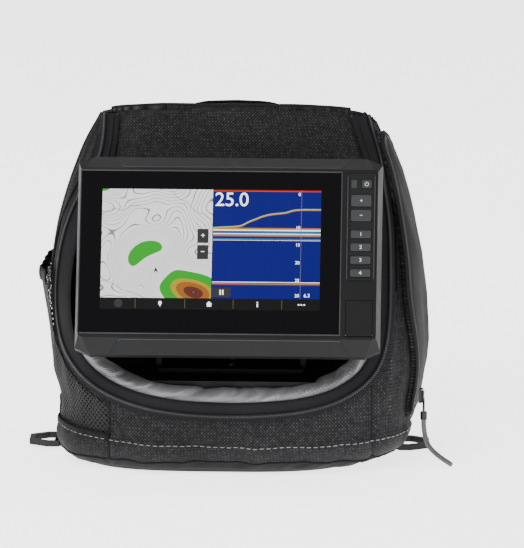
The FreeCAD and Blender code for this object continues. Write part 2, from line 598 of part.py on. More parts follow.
def make_tray(bail_screws):
    outline = [("0", "tray_front + tray_depth / 2", "tray_width", "tray_depth")]
    outer = plate("tray_outer", outline, "tray_bottom", "tray_top - tray_bottom", role="XY_Plane",
                  round_edges=dim("tray_round"))
    inside = [("0", "tray_front + tray_depth / 2", "tray_width - 2 * tray_wall",
               "tray_depth - 2 * tray_wall")]
    inner = plate("tray_inner", inside, "tray_bottom + tray_wall", "tray_top - tray_bottom",
                  role="XY_Plane",
                  round_edges=dim("tray_round") - dim("tray_wall"))
    shell = combine("Cut", "tray_shell", outer, inner)
    bosses = [shell]
    holes = []
    corners = [(x, y) for x in (-dim("boss_x"), dim("boss_x"))
               for y in (dim("boss_front"), dim("boss_back"))]
    for i, (x, y) in enumerate(corners):
        bosses.append(rod(f"tray_boss_{i}", "boss_radius", "tray_top - tray_bottom",
                          (x, y, dim("tray_bottom")),
                          (0, 0, 1)))
        holes.append(rod(f"tray_hole_{i}", "lid_screw_radius + screw_play", "14",
                         (x, y, dim("tray_top") - 13),
                         (0, 0, 1)))
    fused = doc.addObject("Part::MultiFuse", "tray_with_bosses")
    fused.Shapes = bosses
    cuts = doc.addObject("Part::MultiFuse", "tray_holes")
    cuts.Shapes = holes
    keep(combine("Cut", "base_tray", fused, cuts), "base_tray")
    make_lid(corners, bail_screws)


def make_lid(corners, bail_screws):
    """Flat lid with a slot near each front corner for a tie strap."""
    lid = plate("tray_lid_plate", [("0", "tray_front + tray_depth / 2", "tray_width + 2 * lid_lip",
                                    "tray_depth + 2 * lid_lip")], "tray_top", "lid_thick", role="XY_Plane",
                round_edges=dim("tray_round") + dim("lid_lip"))
    slots = [(f"{side} * slot_x", "slot_y", "slot_width", "slot_length") for side in (-1, 1)]
    top = "tray_top + lid_thick"
    pocket(lid, "lid_slots", slots, f"{top} + 1", "lid_thick + 2", role="XY_Plane")
    holes = [rod(f"lid_hole_{i}", "lid_screw_radius + screw_play", "lid_thick + 2",
                 (x, y, dim("tray_top") - 1),
                 (0, 0, 1)) for i, (x, y) in enumerate(corners)]
    centre = pivot()
    for i, y in enumerate((centre.y - 10, centre.y + 10)):
        holes.append(rod(f"lid_bail_hole_{i}", "bail_screw_radius + screw_play", "lid_thick + 2",
                         (dim("bail_screw_x"), y, dim("tray_top") - 1), (0, 0, 1)))
    cuts = doc.addObject("Part::MultiFuse", "lid_holes")
    cuts.Shapes = holes
    keep(combine("Cut", "tray_lid", lid, cuts), "tray_lid")
    screws = bail_screws
    for i, (x, y) in enumerate(corners):
        shank = rod(f"lid_shank_{i}", "lid_screw_radius", "lid_thick + 11", (x, y, dim("tray_top") - 11),
                    (0, 0, 1))
        head = rod(f"lid_head_{i}", "lid_screw_head", "2", (x, y, dim("tray_top") + dim("lid_thick")),
                   (0, 0, 1))
        screws.append(combine("Fuse", f"lid_screw_{i}", shank, head))
    group = doc.addObject("Part::Compound", "tray_screws")
    group.Links = screws
    keep(group, "tray_screws")


def make_battery():
    """Battery on its side in the tray, with its terminals in front and a strap over it."""
    floor = "tray_bottom + tray_wall + 0.4"
    case = plate("battery", [("0", "battery_y", "battery_length", "battery_width")], floor,
                 "battery_height",
                 role="XY_Plane", round_edges=2)
    keep(case, "battery")
    front = "battery_y - battery_width / 2 - terminal_size"
    tabs = [block(f"terminal_{i}", f"{side} * terminal_x", "tray_bottom + tray_wall + 46", "terminal_size",
                  "terminal_size", front, "terminal_size") for i, side in enumerate((-1, 1))]
    group = doc.addObject("Part::Compound", "battery_terminals")
    group.Links = tabs
    keep(group, "battery_terminals")
    rise = "battery_height + strap_thick + 0.3"
    outer = block("strap_outer", "0", f"{floor} + ( {rise} ) / 2", "strap_width", rise,
                  "battery_y - battery_width / 2 - strap_thick - 0.4", "battery_width + 2 * strap_thick + 0.8")
    inner = block("strap_inner", "0", f"{floor} + ( battery_height + 0.3 ) / 2 - 1", "strap_width + 2",
                  "battery_height + 2.3", "battery_y - battery_width / 2 - 0.4", "battery_width + 0.8")
    keep(combine("Cut", "battery_strap", outer, inner), "battery_strap")
    pad = plate("base_pad", [("pad_centre", "0", "pad_length", "pad_depth")], "pad_bottom",
                "pad_top - pad_bottom", role="XY_Plane", round_edges=14)
    keep(pad, "base_pad")


make_dock()
make_cradle()
make_latch()
make_sockets()
bail_screws = make_bail()
make_knobs()
make_tray(bail_screws)
make_battery()


# ---------------------------------------------------------------- bag shapes

def section(station, out_left, out_right, lift):
    """One closed rounded cross-section of the bag, grown outwards by the given amounts."""
    height, left, right, front, back = station
    left, right = left + out_left, right + out_right
    front, back = front + out_right, back + out_right
    centre = Vector((right - left) / 2, (back - front) / 2, height + lift)
    half_x, half_y = (left + right) / 2, (front + back) / 2
    power = 2 / dim("roundness")
    points = []
    for i in range(32):
        angle = 2 * math.pi * i / 32
        cos, sin = math.cos(angle), math.sin(angle)
        x = math.copysign(abs(cos) ** power, cos) * half_x
        y = math.copysign(abs(sin) ** power, sin) * half_y
        points.append(centre + Vector(x, y, 0))
    curve = Part.BSplineCurve()
    curve.interpolate(Points=points, PeriodicFlag=True)
    return Part.Wire(curve.toShape())


def bag_body(offset, lift=0):
    """The bag's whole outside as a solid, every reach grown by offset."""
    return Part.makeLoft([section(row, offset, offset, lift) for row in STATIONS], True, False)


def mesh_body(thin):
    """The bag grown on its left only, flat low down and bulging at the mesh pocket's top."""
    flat, bulge = dim("mesh_flat"), dim("mesh_bulge")
    sections = []
    for row in STATIONS:
        share = min(1, max(0, (row[0] - 80) / 90)) ** 1.5
        sections.append(section(row, flat + (bulge - flat) * share - thin, 0, 0))
    return Part.makeLoft(sections, True, False)


def box(x0, x1, y0, y1, z0, z1):
    return Part.makeBox(x1 - x0, y1 - y0, z1 - z0, Vector(x0, y0, z0))


FAR = 400


def under_roof(drop):
    """Everything under the bag's sloping top, lowered by drop."""
    slope, ridge_y, ridge_z = dim("top_slope"), dim("ridge_y"), dim("ridge_z") - drop
    corners = [(-FAR, -FAR), (FAR, -FAR), (FAR, ridge_z - slope * (FAR - ridge_y)), (ridge_y, ridge_z),
               (-FAR, ridge_z)]
    points = [Vector(-FAR, y, z) for y, z in corners]
    return Part.Face(Part.makePolygon(points + points[:1])).extrude(Vector(2 * FAR, 0, 0))


def opening_prism(inset):
    """The front opening's outline moved inwards by inset, as a prism through the front wall."""
    curve = Part.BSplineCurve()
    curve.interpolate([Vector(x, 0, z) for x, z in OPENING])
    if inset:
        steps = 2 * len(OPENING)
        moved = []
        for i in range(steps + 1):
            at = curve.FirstParameter + (curve.LastParameter - curve.FirstParameter) * i / steps
            tangent = curve.tangent(at)[0]
            moved.append(curve.value(at) + Vector(-tangent.z, 0, tangent.x) * inset)
        curve = Part.BSplineCurve()
        curve.interpolate(moved)
    ends = [curve.value(curve.LastParameter), curve.value(curve.FirstParameter)]
    face = Part.Face(Part.Wire([curve.toShape(), Part.makeLine(*ends)]))
    face.translate(Vector(0, -FAR, 0))
    return face.extrude(Vector(0, FAR + dim("split_y"), 0))


def side_region(side):
    """Where a side panel lies: beyond its seam, and in front also the strip beside the door."""
    seam = dim("seam_left") if side < 0 else dim("seam_right")
    corners = [(side * FAR, -1), (seam, -1), (seam, 150), (side * 50, 200), (side * 50, FAR),
               (side * FAR, FAR)]
    points = [Vector(x, -FAR, z) for x, z in corners]
    front = Part.Face(Part.makePolygon(points + points[:1])).extrude(Vector(0, FAR + dim("split_y"), 0))
    back = box(*sorted((seam, side * FAR)), dim("split_y"), FAR, -1, FAR)
    return front.fuse(back)


def make_bag_panels():
    wall, base = dim("wall"), dim("base_height")
    outer = bag_body(0)
    inner = bag_body(-wall, wall).common(box(-FAR, FAR, -FAR, FAR, wall, FAR))
    whole = outer.common(under_roof(0))
    hollow = inner.common(under_roof(wall))
    opening = opening_prism(0)
    shell = whole.cut(hollow)
    keep(solid_feature("bag_base", shell.common(box(-FAR, FAR, -FAR, FAR, -1, base))), "bag_base")
    keep(solid_feature("bag_top_panel", whole.cut(under_roof(wall))), "bag_top_panel")
    walls = shell.common(box(-FAR, FAR, -FAR, FAR, base, FAR)).common(under_roof(wall)).cut(opening)
    for side, word in ((-1, "left"), (1, "right")):
        region = side_region(side)
        label = f"bag_{word}_side"
        keep(solid_feature(label, walls.common(region)), label)
        walls = walls.cut(region)
    back = box(-FAR, FAR, dim("split_y"), FAR, -1, FAR)
    keep(solid_feature("bag_back_panel", walls.common(back)), "bag_back_panel")
    keep(solid_feature("bag_front_panel", walls.cut(back)), "bag_front_panel")
    make_lining()
    make_front_zip()
    make_flap(shell)


def make_lining():
    """Thin inner lining; it stands a little above the front opening's edge."""
    depth = dim("wall") + dim("lining_gap")
    outer = bag_body(-depth, depth)
    inner = bag_body(-depth - dim("lining_thick"), depth)
    band = box(-FAR, FAR, -FAR, FAR, dim("base_height") + 1, dim("lining_top"))
    lining = outer.cut(inner).common(band).cut(opening_prism(dim("lining_inset")))
    keep(solid_feature("bag_lining", lining), "bag_lining")


def make_front_zip():
    """Zip tape round the opening, set inwards from the edge of the wall."""
    top, under = dim("tape_sink"), dim("tape_sink") + dim("tape_thick")
    skin = bag_body(-top).cut(bag_body(-under)).common(under_roof(dim("wall")))
    band = opening_prism(0).cut(opening_prism(dim("tape_width")))
    front = box(-FAR, FAR, -FAR, dim("split_y") - 1, dim("base_height"), dim("flap_top"))
    keep(solid_feature("front_zip_chain", skin.common(band).common(front)), "front_zip_chain")


def make_flap(shell):
    """Upper part of the front door, with the rest of the door rolled up behind its hem."""
    inset = dim("tape_width") + dim("flap_gap")
    band = box(-FAR, FAR, -FAR, dim("split_y") - 1, dim("hem_z"), dim("flap_top"))
    band = band.common(under_roof(dim("wall") + dim("flap_gap")))
    flap = shell.common(opening_prism(inset)).common(band)
    roll = Part.makeCylinder(dim("roll_radius"), dim("roll_right") - dim("roll_left"),
                             Vector(dim("roll_left"), dim("roll_y"), dim("roll_z")), Vector(1, 0, 0))
    keep(solid_feature("door_flap", flap.fuse(roll.cut(bag_body(0).cut(bag_body(-1)))).removeSplitter()),
         "door_flap")
    proud = bag_body(dim("zip_proud")).cut(bag_body(0)).common(band)
    edge = opening_prism(inset).cut(opening_prism(inset + dim("zip_width")))
    keep(solid_feature("door_zip_tape", proud.common(edge)), "door_zip_tape")


make_bag_panels()


# ---------------------------------------------------------------- pockets, rings and handle

def pocket_region(grow, low):
    """The right side between the pocket's slanted front edge, its straight back edge and the roof."""
    front, back = dim("pocket_front") - grow, dim("pocket_back") + grow
    corners = [(front, low), (front, 150), (front + 28, 212), (front + 64, 262), (front + 76, 290),
               (front + 76, FAR), (back, FAR), (back, low)]
    points = [Vector(60, y, z) for y, z in corners]
    prism = Part.Face(Part.makePolygon(points + points[:1])).extrude(Vector(FAR, 0, 0))
    return prism.common(under_roof(dim("pocket_drop") - grow))


def make_side_pocket():
    """Flat zipped compartment on the right side: its door, and its zip as an upside-down U."""
    out, skin, border, low = dim("pocket_out"), dim("pocket_skin"), dim("pocket_zip"), dim("pocket_low")
    bag, outer = bag_body(0), bag_body(out)
    inside = pocket_region(-border, low)
    door = outer.cut(bag_body(out - skin)).common(inside)
    floor = outer.cut(bag).common(pocket_region(-border, low)).common(box(60, FAR, -FAR, FAR, low, low + 3))
    keep(solid_feature("side_pocket", door.fuse(floor)), "side_pocket")
    band = pocket_region(0, low).cut(pocket_region(-border, low - 1))
    chain = bag_body(out + dim("pocket_zip_proud")).cut(bag).common(band)
    keep(solid_feature("side_zip_chain", chain), "side_zip_chain")


def make_mesh_pocket():
    """Open-topped pocket on the left side, pulled outwards at its top by an elastic edge."""
    skin = dim("mesh_skin")
    front, back, low, high = [dim(f"mesh_{word}") for word in ("front", "back", "low", "high")]
    edge = dim("seam_left")
    outer = mesh_body(0).common(box(-FAR, edge, front, back, low, high))
    inner = mesh_body(skin).common(box(-FAR, edge, front + skin, back - skin, low + skin, high + 2 * skin))
    net = outer.cut(inner).cut(bag_body(0)).cut(opening_prism(-skin))
    keep(solid_feature("mesh_pocket", net), "mesh_pocket")


def make_rings():
    """D-rings on webbing loops, lying at the bag's sides."""
    tabs = []
    bar, width = dim("ring_bar"), dim("tab_width")
    centre_z = dim("ring_floor") + bar / 2
    long_half, short_half = dim("ring_long") / 2, dim("ring_short") / 2
    for side, word in ((-1, "left"), (1, "right")):
        x = dim(f"ring_{word}")
        reach = dim("ring_reach") + bar / 2
        corners = [(-bar / 2, -long_half), (9, -long_half), (reach, -short_half), (reach, short_half),
                   (9, long_half), (-bar / 2, long_half)]
        points = [Vector(x + side * u, v, dim("ring_floor")) for u, v in corners]
        outline = Part.Wire(Part.makePolygon(points + points[:1]))
        plane = Part.Face(outline).cut(Part.Face(outline.makeOffset2D(-bar, 2)))
        frame = plane.extrude(Vector(0, 0, bar))
        gap = box(x - bar / 2 - 0.1, x + bar / 2 + 0.1, -width / 2 - 1, width / 2 + 1, 0, 20)
        round_bar = Part.makeCylinder(bar / 2, width + 4, Vector(x, -width / 2 - 2, centre_z),
                                      Vector(0, 1, 0))
        ring = frame.cut(gap).fuse(round_bar)
        keep(solid_feature(f"d_ring_{word}", ring), f"d_ring_{word}")
        tabs.append(ring_tab(side, x, centre_z))
    group = solid_feature("d_ring_tabs", Part.makeCompound(tabs))
    keep(group, "d_ring_tabs")


def ring_tab(side, x, centre_z):
    """Webbing loop round one ring's bar, with its tail up to the bag."""
    width, thick, play = dim("tab_width"), dim("tab_thick"), dim("tab_play")
    bore = dim("ring_bar") / 2 + play
    loop = Part.makeCylinder(bore + thick, width, Vector(x, -width / 2, centre_z), Vector(0, 1, 0))
    tail = box(*sorted((x, x - side * 34)), -width / 2, width / 2, centre_z - 1.7, centre_z + 1.7)
    hole = Part.makeCylinder(bore, width + 2, Vector(x, -width / 2 - 1, centre_z), Vector(0, 1, 0))
    return loop.fuse(tail).cut(hole).cut(bag_body(0))


def make_handle():
    """Webbing carry handle across the sloping top."""
    half, foot, ramp = dim("handle_span") / 2, dim("handle_foot"), dim("handle_ramp")
    rise, thick, width = dim("handle_rise"), dim("handle_thick"), dim("handle_width")
    line = [(-half, 0), (-half + foot, 0), (-half + foot + ramp, rise), (half - foot - ramp, rise),
            (half - foot, 0), (half, 0)]
    over = [(x, z + thick) for x, z in reversed(line)]
    points = [Vector(x, -width / 2, z) for x, z in line + over]
    strip = Part.Face(Part.makePolygon(points + points[:1])).extrude(Vector(0, width, 0))
    item = solid_feature("carry_handle", strip)
    height = dim("ridge_z") - dim("top_slope") * (dim("handle_y") - dim("ridge_y"))
    lean = -math.degrees(math.atan(dim("top_slope")))
    item.Placement = Placement(Vector(0, dim("handle_y"), height), Rotation(Vector(1, 0, 0), lean))
    keep(item, "carry_handle")


# ---------------------------------------------------------------- zip sliders and pull cord

def meets(solid, start, end):
    """Where a straight line first meets a solid."""
    hit = solid.common(Part.makeLine(start, end))
    ends = [vertex.Point for vertex in hit.Vertexes]
    return min(ends, key=lambda point: point.sub(start).Length)


def slider_block(low, high, beside):
    """A zip slider at low, its length towards high; beside is another surface point at its height."""
    along = high.sub(low).normalize()
    across = beside.sub(low).normalize()
    out = along.cross(across).normalize()
    across = out.cross(along).normalize()
    length, width, thick = dim("slider_length"), dim("slider_width"), dim("slider_thick")
    shape = box(-width / 2, width / 2, 0, thick * 0.6, -length / 2, length / 2)
    bridge = box(-1.2, 1.2, thick * 0.6, thick, -length / 2 + 2, length / 2 - 2)
    shape = shape.fuse(bridge)
    matrix = FreeCAD.Matrix(across.x, out.x, along.x, low.x, across.y, out.y, along.y, low.y,
                            across.z, out.z, along.z, low.z, 0, 0, 0, 1)
    shape.Placement = Placement(matrix)
    shape.translate(out * dim("slider_gap"))
    return shape, along, out


def pull_tab(centre, across, along):
    """Small flat tab that hangs from a front slider."""
    half = dim("tab_pull_width") / 2
    tab = box(-half, half, 0, dim("tab_pull_thick"), -dim("tab_pull_length"), 0)
    out = across.cross(along)
    matrix = FreeCAD.Matrix(across.x, -out.x, along.x, centre.x, across.y, -out.y, along.y, centre.y,
                            across.z, -out.z, along.z, centre.z, 0, 0, 0, 1)
    tab.Placement = Placement(matrix)
    return tab


def make_front_sliders():
    """Two sliders at the top ends of the front zip, one each side."""
    skin = bag_body(-dim("tape_sink"))
    high_z, low_z = dim("front_slider_high"), dim("front_slider_low")
    for word, side, high_x, low_x in (("left", -1, -125.5, -138.5), ("right", 1, 131.5, 134.5)):
        ends = [meets(skin, Vector(x, -FAR, z), Vector(x, 30, z))
                for x, z in ((high_x, high_z), (low_x, low_z))]
        near = meets(skin, Vector(high_x - 5, -FAR, high_z), Vector(high_x - 5, 30, high_z))
        lift = ends[0].sub(ends[1])
        body, along, out = slider_block(ends[0], ends[0].add(lift), near)
        if out.y > 0:
            raise ValueError("the slider faces into the bag")
        across = out.cross(along)
        top = ends[0].add(out * (dim("slider_gap") + dim("slider_thick") - 0.8)).add(along * 4)
        shape = body.fuse(pull_tab(top, across, along))
        label = f"front_zip_slider_{word}"
        keep(solid_feature(label, shape), label)
        print(label, "at", ends[0], "moves down by", lift.Length, "along", lift * (-1 / lift.Length))


def make_side_slider():
    """Slider of the side zip, with a ring for its pull cord."""
    surface = bag_body(dim("pocket_out") + dim("pocket_zip_proud"))
    y, low, travel = dim("side_slider_y"), dim("side_slider_low"), dim("side_slider_travel")
    ends = [meets(surface, Vector(FAR, y, z), Vector(0, y, z)) for z in (low, low + travel)]
    beside = meets(surface, Vector(FAR, y - 5, low), Vector(0, y - 5, low))
    body, along, out = slider_block(ends[0], ends[1], beside)
    if out.x < 0:
        raise ValueError("the slider faces into the bag")
    ring_x, ring_z = dim("pull_x"), dim("pull_ring_z")
    centre = Vector(ring_x - dim("pull_ring_thick") / 2, y + 1, ring_z)
    ring = Part.makeCylinder(dim("pull_ring_radius"), dim("pull_ring_thick"), centre, Vector(1, 0, 0))
    ring = ring.cut(Part.makeCylinder(dim("pull_ring_hole"), 9, centre.add(Vector(-3, 0, 0)),
                                      Vector(1, 0, 0)))
    knot_top = Vector(ring_x, y + 1, ring_z - dim("pull_ring_hole") - 1)
    knot = Part.makeCylinder(dim("knot_radius"), dim("knot_length"), knot_top, Vector(0, 0, -1))
    hook_z = ring_z + dim("pull_ring_radius") - 1.5
    hook = box(ends[0].x + 2, ring_x + 1, y - 0.6, y + 2.6, hook_z, hook_z + 4)
    shape = body.fuse([ring, knot, hook])
    keep(solid_feature("side_zip_slider", shape), "side_zip_slider")
    print("side_zip_slider at", ends[0], "moves along", along, "by", travel / along.z)
    return knot_top.add(Vector(0, 0, -dim("knot_length")))


def round_path(points, radius_out):
    """Straight runs joined by arcs tangent to both, with the arcs' radii printed."""
    edges = []
    start = points[0]
    for before, corner, after in zip(points, points[1:], points[2:]):
        back, ahead = before.sub(corner), after.sub(corner)
        short = min(back.Length, ahead.Length)
        back.normalize()
        ahead.normalize()
        half_turn = (math.pi - back.getAngle(ahead)) / 2
        reach = 0.45 * short
        first, last = corner.add(back * reach), corner.add(ahead * reach)
        middle_way = back.add(ahead).normalize()
        radius = reach / math.tan(half_turn)
        middle = corner.add(middle_way * (radius / math.cos(half_turn) - radius))
        edges.append(Part.makeLine(start, first))
        edges.append(Part.Arc(first, middle, last).toShape())
        start = last
        print(f"cord bend radius {radius:.1f} on a radius of {radius_out:.1f}")
    edges.append(Part.makeLine(start, points[-1]))
    return Part.Wire(edges)


def make_pull_cord(knot_end):
    points = [knot_end.add(Vector(*step)) for step in PULL_ROUTE]
    path = round_path(points, dim("cord_radius"))
    ends = points[1].sub(points[0])
    profile = Part.Wire(Part.makeCircle(dim("cord_radius"), points[0], ends))
    cord = path.makePipeShell([profile], True, True)
    keep(solid_feature("side_zip_pull", cord), "side_zip_pull")
    section_area = math.pi * dim("cord_radius") ** 2
    print(f"cord length {path.Length:.1f}, volume {cord.Volume:.0f} of {path.Length * section_area:.0f}")
    print("cord route", [tuple(round(value, 2) for value in point) for point in points])


make_side_pocket()
make_mesh_pocket()
make_rings()
make_handle()
make_front_sliders()
make_pull_cord(make_side_slider())


# ---------------------------------------------------------------- checks and export

doc.recompute()
for item in doc.Objects:
    if "Invalid" in item.State or "Error" in item.State:
        raise ValueError(f"{item.Name} did not recompute")
os.makedirs("parts", exist_ok=True)
for item in exported:
    shape = item.Shape
    if shape.isNull() or not shape.isValid() or not shape.Solids:
        raise ValueError(f"{item.Label} is not a valid solid")
    shape.exportStep(f"parts/{item.Label}.step")
    print(f"{item.Label}: {len(shape.Solids)} solid, {shape.Volume:.0f} mm3")
print(len(exported), "nodes")
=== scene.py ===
"""Portable fish finder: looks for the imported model. Metres, +Z up, -Y towards the user."""

import bpy
import math
import numpy as np
from mathutils import Matrix, Vector, noise
from mathutils.bvhtree import BVHTree


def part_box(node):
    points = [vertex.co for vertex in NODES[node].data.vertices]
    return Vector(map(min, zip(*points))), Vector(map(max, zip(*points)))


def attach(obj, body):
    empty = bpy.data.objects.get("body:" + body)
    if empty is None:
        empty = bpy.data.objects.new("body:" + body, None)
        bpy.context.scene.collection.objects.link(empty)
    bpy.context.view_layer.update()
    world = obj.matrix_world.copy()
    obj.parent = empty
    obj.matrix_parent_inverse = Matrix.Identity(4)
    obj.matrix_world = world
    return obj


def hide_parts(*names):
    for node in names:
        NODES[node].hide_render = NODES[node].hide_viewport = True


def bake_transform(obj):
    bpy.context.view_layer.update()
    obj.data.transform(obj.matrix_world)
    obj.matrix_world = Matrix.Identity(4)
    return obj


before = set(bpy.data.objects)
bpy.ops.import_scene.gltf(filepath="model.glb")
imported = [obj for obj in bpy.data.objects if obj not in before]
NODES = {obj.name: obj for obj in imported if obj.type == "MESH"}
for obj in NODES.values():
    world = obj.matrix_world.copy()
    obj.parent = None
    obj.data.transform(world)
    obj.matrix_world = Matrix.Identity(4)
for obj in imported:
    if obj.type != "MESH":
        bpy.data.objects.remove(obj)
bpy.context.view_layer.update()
MM = 0.001


# ---------------------------------------------------------------- objects and vectors

def add_object(name, data):
    """A new object in the scene."""
    made = bpy.data.objects.new(name, data)
    bpy.context.scene.collection.objects.link(made)
    return made


def add_mesh(name, vertices, faces, uvs, material, smooth=True):
    """A new mesh object with one material and a UV for each face corner, in metres."""
    mesh = bpy.data.meshes.new(name)
    mesh.from_pydata([tuple(v) for v in vertices], [], faces)
    mesh.uv_layers.new(name="UVMap").data.foreach_set("uv", np.array(uvs, np.float32).ravel())
    mesh.polygons.foreach_set("use_smooth", [smooth] * len(faces))
    mesh.materials.append(MATS[material])
    return add_object(name, mesh)


def claim(piece, body, node=None):
    """Puts a piece on the body that it rides on and hides the CAD node that it stands for."""
    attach(piece, body)
    if node:
        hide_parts(node)
    return piece


def ripple(x, y, z):
    """Smooth noise at a place, the same each run."""
    return noise.noise(Vector((x, y, z)))


def unit(vectors):
    return vectors / np.linalg.norm(vectors, axis=-1)[..., None]


def heading(points):
    """The direction of a curve at each of its points."""
    return unit(np.gradient(points, axis=0))


# ---------------------------------------------------------------- camera, light and floor

AIM = Vector((0.0262, 0.0, 0.1635))
CAMERA_DISTANCE = 7.0
CAMERA_ELEVATION = math.radians(13)
CAMERA_TURN = math.radians(2.5)
FLOOR_HALF = 14


def make_camera():
    data = bpy.data.cameras.new("camera")
    data.lens, data.sensor_width = 500, 36
    data.clip_start, data.clip_end = 0.05, 30
    camera = add_object("camera", data)
    back = Vector((math.sin(CAMERA_TURN) * math.cos(CAMERA_ELEVATION),
                   -math.cos(CAMERA_TURN) * math.cos(CAMERA_ELEVATION), math.sin(CAMERA_ELEVATION)))
    camera.location = AIM + back * CAMERA_DISTANCE
    camera.rotation_mode = "QUATERNION"
    camera.rotation_quaternion = (-back).to_track_quat("-Z", "Y")
    bpy.context.scene.camera = camera


def area_light(name, place, target, size, power):
    data = bpy.data.lights.new(name, "AREA")
    data.shape, data.size, data.size_y = "RECTANGLE", size[0], size[1]
    data.energy = power
    light = add_object(name, data)
    light.location = place
    light.rotation_mode = "QUATERNION"
    light.rotation_quaternion = (Vector(target) - Vector(place)).to_track_quat("-Z", "Y")


def make_studio():
    """A pale room: white sky, five soft lights and a bright floor."""
    world = bpy.data.worlds.new("studio")
    bpy.context.scene.world = world
    world.use_nodes = True
    sky = world.node_tree.nodes["Background"].inputs
    sky["Color"].default_value, sky["Strength"].default_value = (1, 1, 1, 1), 0.5
    for name, place, target, size, power in (
            ("key", (-0.9, -1.5, 1.9), (0, 0, 0.15), (1.0, 1.0), 44),
            ("right_strip", (1.6, -0.7, 1.0), (0.05, 0, 0.15), (0.5, 1.2), 4.5),
            ("left_strip", (-1.7, 0.2, 0.9), (-0.05, 0, 0.15), (0.5, 1.2), 3),
            ("top", (0.1, 0.7, 1.9), (0, 0.1, 0.2), (1.4, 1.0), 16),
            ("low_front", (0.2, -2.4, 0.5), (0, 0, 0.12), (1.8, 0.6), 4)):
        area_light(name, place, target, size, power)
    white = Shader("floor_white", (0.93, 0.93, 0.93), 0.7, specular=0.5)
    white.shine((1, 1, 1), 2.6)
    mesh = bpy.data.meshes.new("floor")
    corners = [(x * FLOOR_HALF, y * FLOOR_HALF, 0) for x, y in ((-1, -1), (1, -1), (1, 1), (-1, 1))]
    mesh.from_pydata(corners, [], [(0, 1, 2, 3)])
    mesh.materials.append(white.mat)
    add_object("floor", mesh)


# ---------------------------------------------------------------- materials

class Shader:
    """A small wrapper that adds nodes to one material and joins them."""

    def __init__(self, name, color, roughness, metallic=0.0, specular=0.35):
        self.mat = bpy.data.materials.new(name)
        self.mat.use_nodes = True
        self.tree = self.mat.node_tree
        self.bsdf = self.tree.nodes["Principled BSDF"]
        self.bsdf.inputs["Base Color"].default_value = (*color, 1)
        self.bsdf.inputs["Roughness"].default_value = roughness
        self.bsdf.inputs["Metallic"].default_value = metallic
        self.bsdf.inputs["Specular IOR Level"].default_value = specular

    def node(self, kind, **settings):
        made = self.tree.nodes.new(kind)
        for key, value in settings.items():
            if key in made.inputs:
                made.inputs[key].default_value = value
            else:
                setattr(made, key, value)
        return made

    def join(self, source, target):
        self.tree.links.new(source, target)

    def times(self, a, b):
        return self.math("MULTIPLY", a, b)

    def plus(self, a, b):
        return self.math("ADD", a, b)

    def math(self, operation, a, b=None):
        made = self.tree.nodes.new("ShaderNodeMath")
        made.operation = operation
        for slot_index, value in enumerate((a, b)):
            if value is None:
                continue
            if isinstance(value, (int, float)):
                made.inputs[slot_index].default_value = value
            else:
                self.join(value, made.inputs[slot_index])
        return made.outputs[0]

    def mix_color(self, factor, a, b, way="MIX"):
        made = self.node("ShaderNodeMix", data_type="RGBA", blend_type=way)
        for socket, value in ((made.inputs[0], factor), (made.inputs[6], a), (made.inputs[7], b)):
            if isinstance(value, tuple):
                socket.default_value = (*value, 1)
            elif isinstance(value, (int, float)):
                socket.default_value = value
            else:
                self.join(value, socket)
        return made.outputs[2]

    def mapped(self, coords, scale, turn=0.0):
        """Texture places, scaled and turned."""
        mapping = self.node("ShaderNodeMapping", Scale=scale, Rotation=(0, 0, turn))
        self.join(self.node("ShaderNodeTexCoord").outputs[coords], mapping.inputs["Vector"])
        return mapping.outputs["Vector"]

    def split(self, vector):
        made = self.node("ShaderNodeSeparateXYZ")
        self.join(vector, made.inputs[0])
        return made.outputs

    def noise(self, scale, detail=4, coords="Object", stretch=(1, 1, 1)):
        made = self.node("ShaderNodeTexNoise", Scale=scale, Detail=detail)
        self.join(self.mapped(coords, stretch), made.inputs["Vector"])
        return made.outputs["Fac"]

    def shine(self, color, strength):
        """Gives off light of one colour, or of a colour from another node."""
        if isinstance(color, tuple):
            self.bsdf.inputs["Emission Color"].default_value = (*color, 1)
        else:
            self.join(color, self.bsdf.inputs["Emission Color"])
        self.bsdf.inputs["Emission Strength"].default_value = strength

    def ramp(self, value, stops):
        made = self.tree.nodes.new("ShaderNodeValToRGB")
        ramp = made.color_ramp
        while len(ramp.elements) < len(stops):
            ramp.elements.new(0.5)
        for element, (at, color) in zip(ramp.elements, stops):
            element.position = at
            element.color = (*color, 1)
        self.join(value, made.inputs["Fac"])
        return made.outputs["Color"]

    def bump(self, height, distance, strength):
        made = self.node("ShaderNodeBump", Strength=strength, Distance=distance)
        self.join(height, made.inputs["Height"])
        self.join(made.outputs["Normal"], self.bsdf.inputs["Normal"])


def dusty(shader, color, amount):
    """Slow colour variation over the surface."""
    dark, worn = [tuple(min(1, c * share) for c in color) for share in (1 - amount, 1 + amount)]
    shader.join(shader.ramp(shader.noise(14, 5), [(0.3, dark), (0.7, worn)]), shader.bsdf.inputs["Base Color"])


def moulded(name, color, roughness=0.55, grain=2600, depth=0.00005):
    """Moulded plastic or rubber with a fine spark-eroded grain."""
    shader = Shader(name, color, roughness, specular=0.14)
    dusty(shader, color, 0.18)
    shader.join(shader.plus(shader.times(shader.noise(90, 3), 0.16), roughness - 0.08),
                shader.bsdf.inputs["Roughness"])
    shader.bump(shader.noise(grain, 2), depth, 0.6)
    return shader.mat


def metal(name, color, roughness=0.35):
    shader = Shader(name, color, roughness, 0.9)
    shader.bump(shader.noise(900, 3, stretch=(1, 6, 1)), 0.00003, 0.5)
    return shader.mat


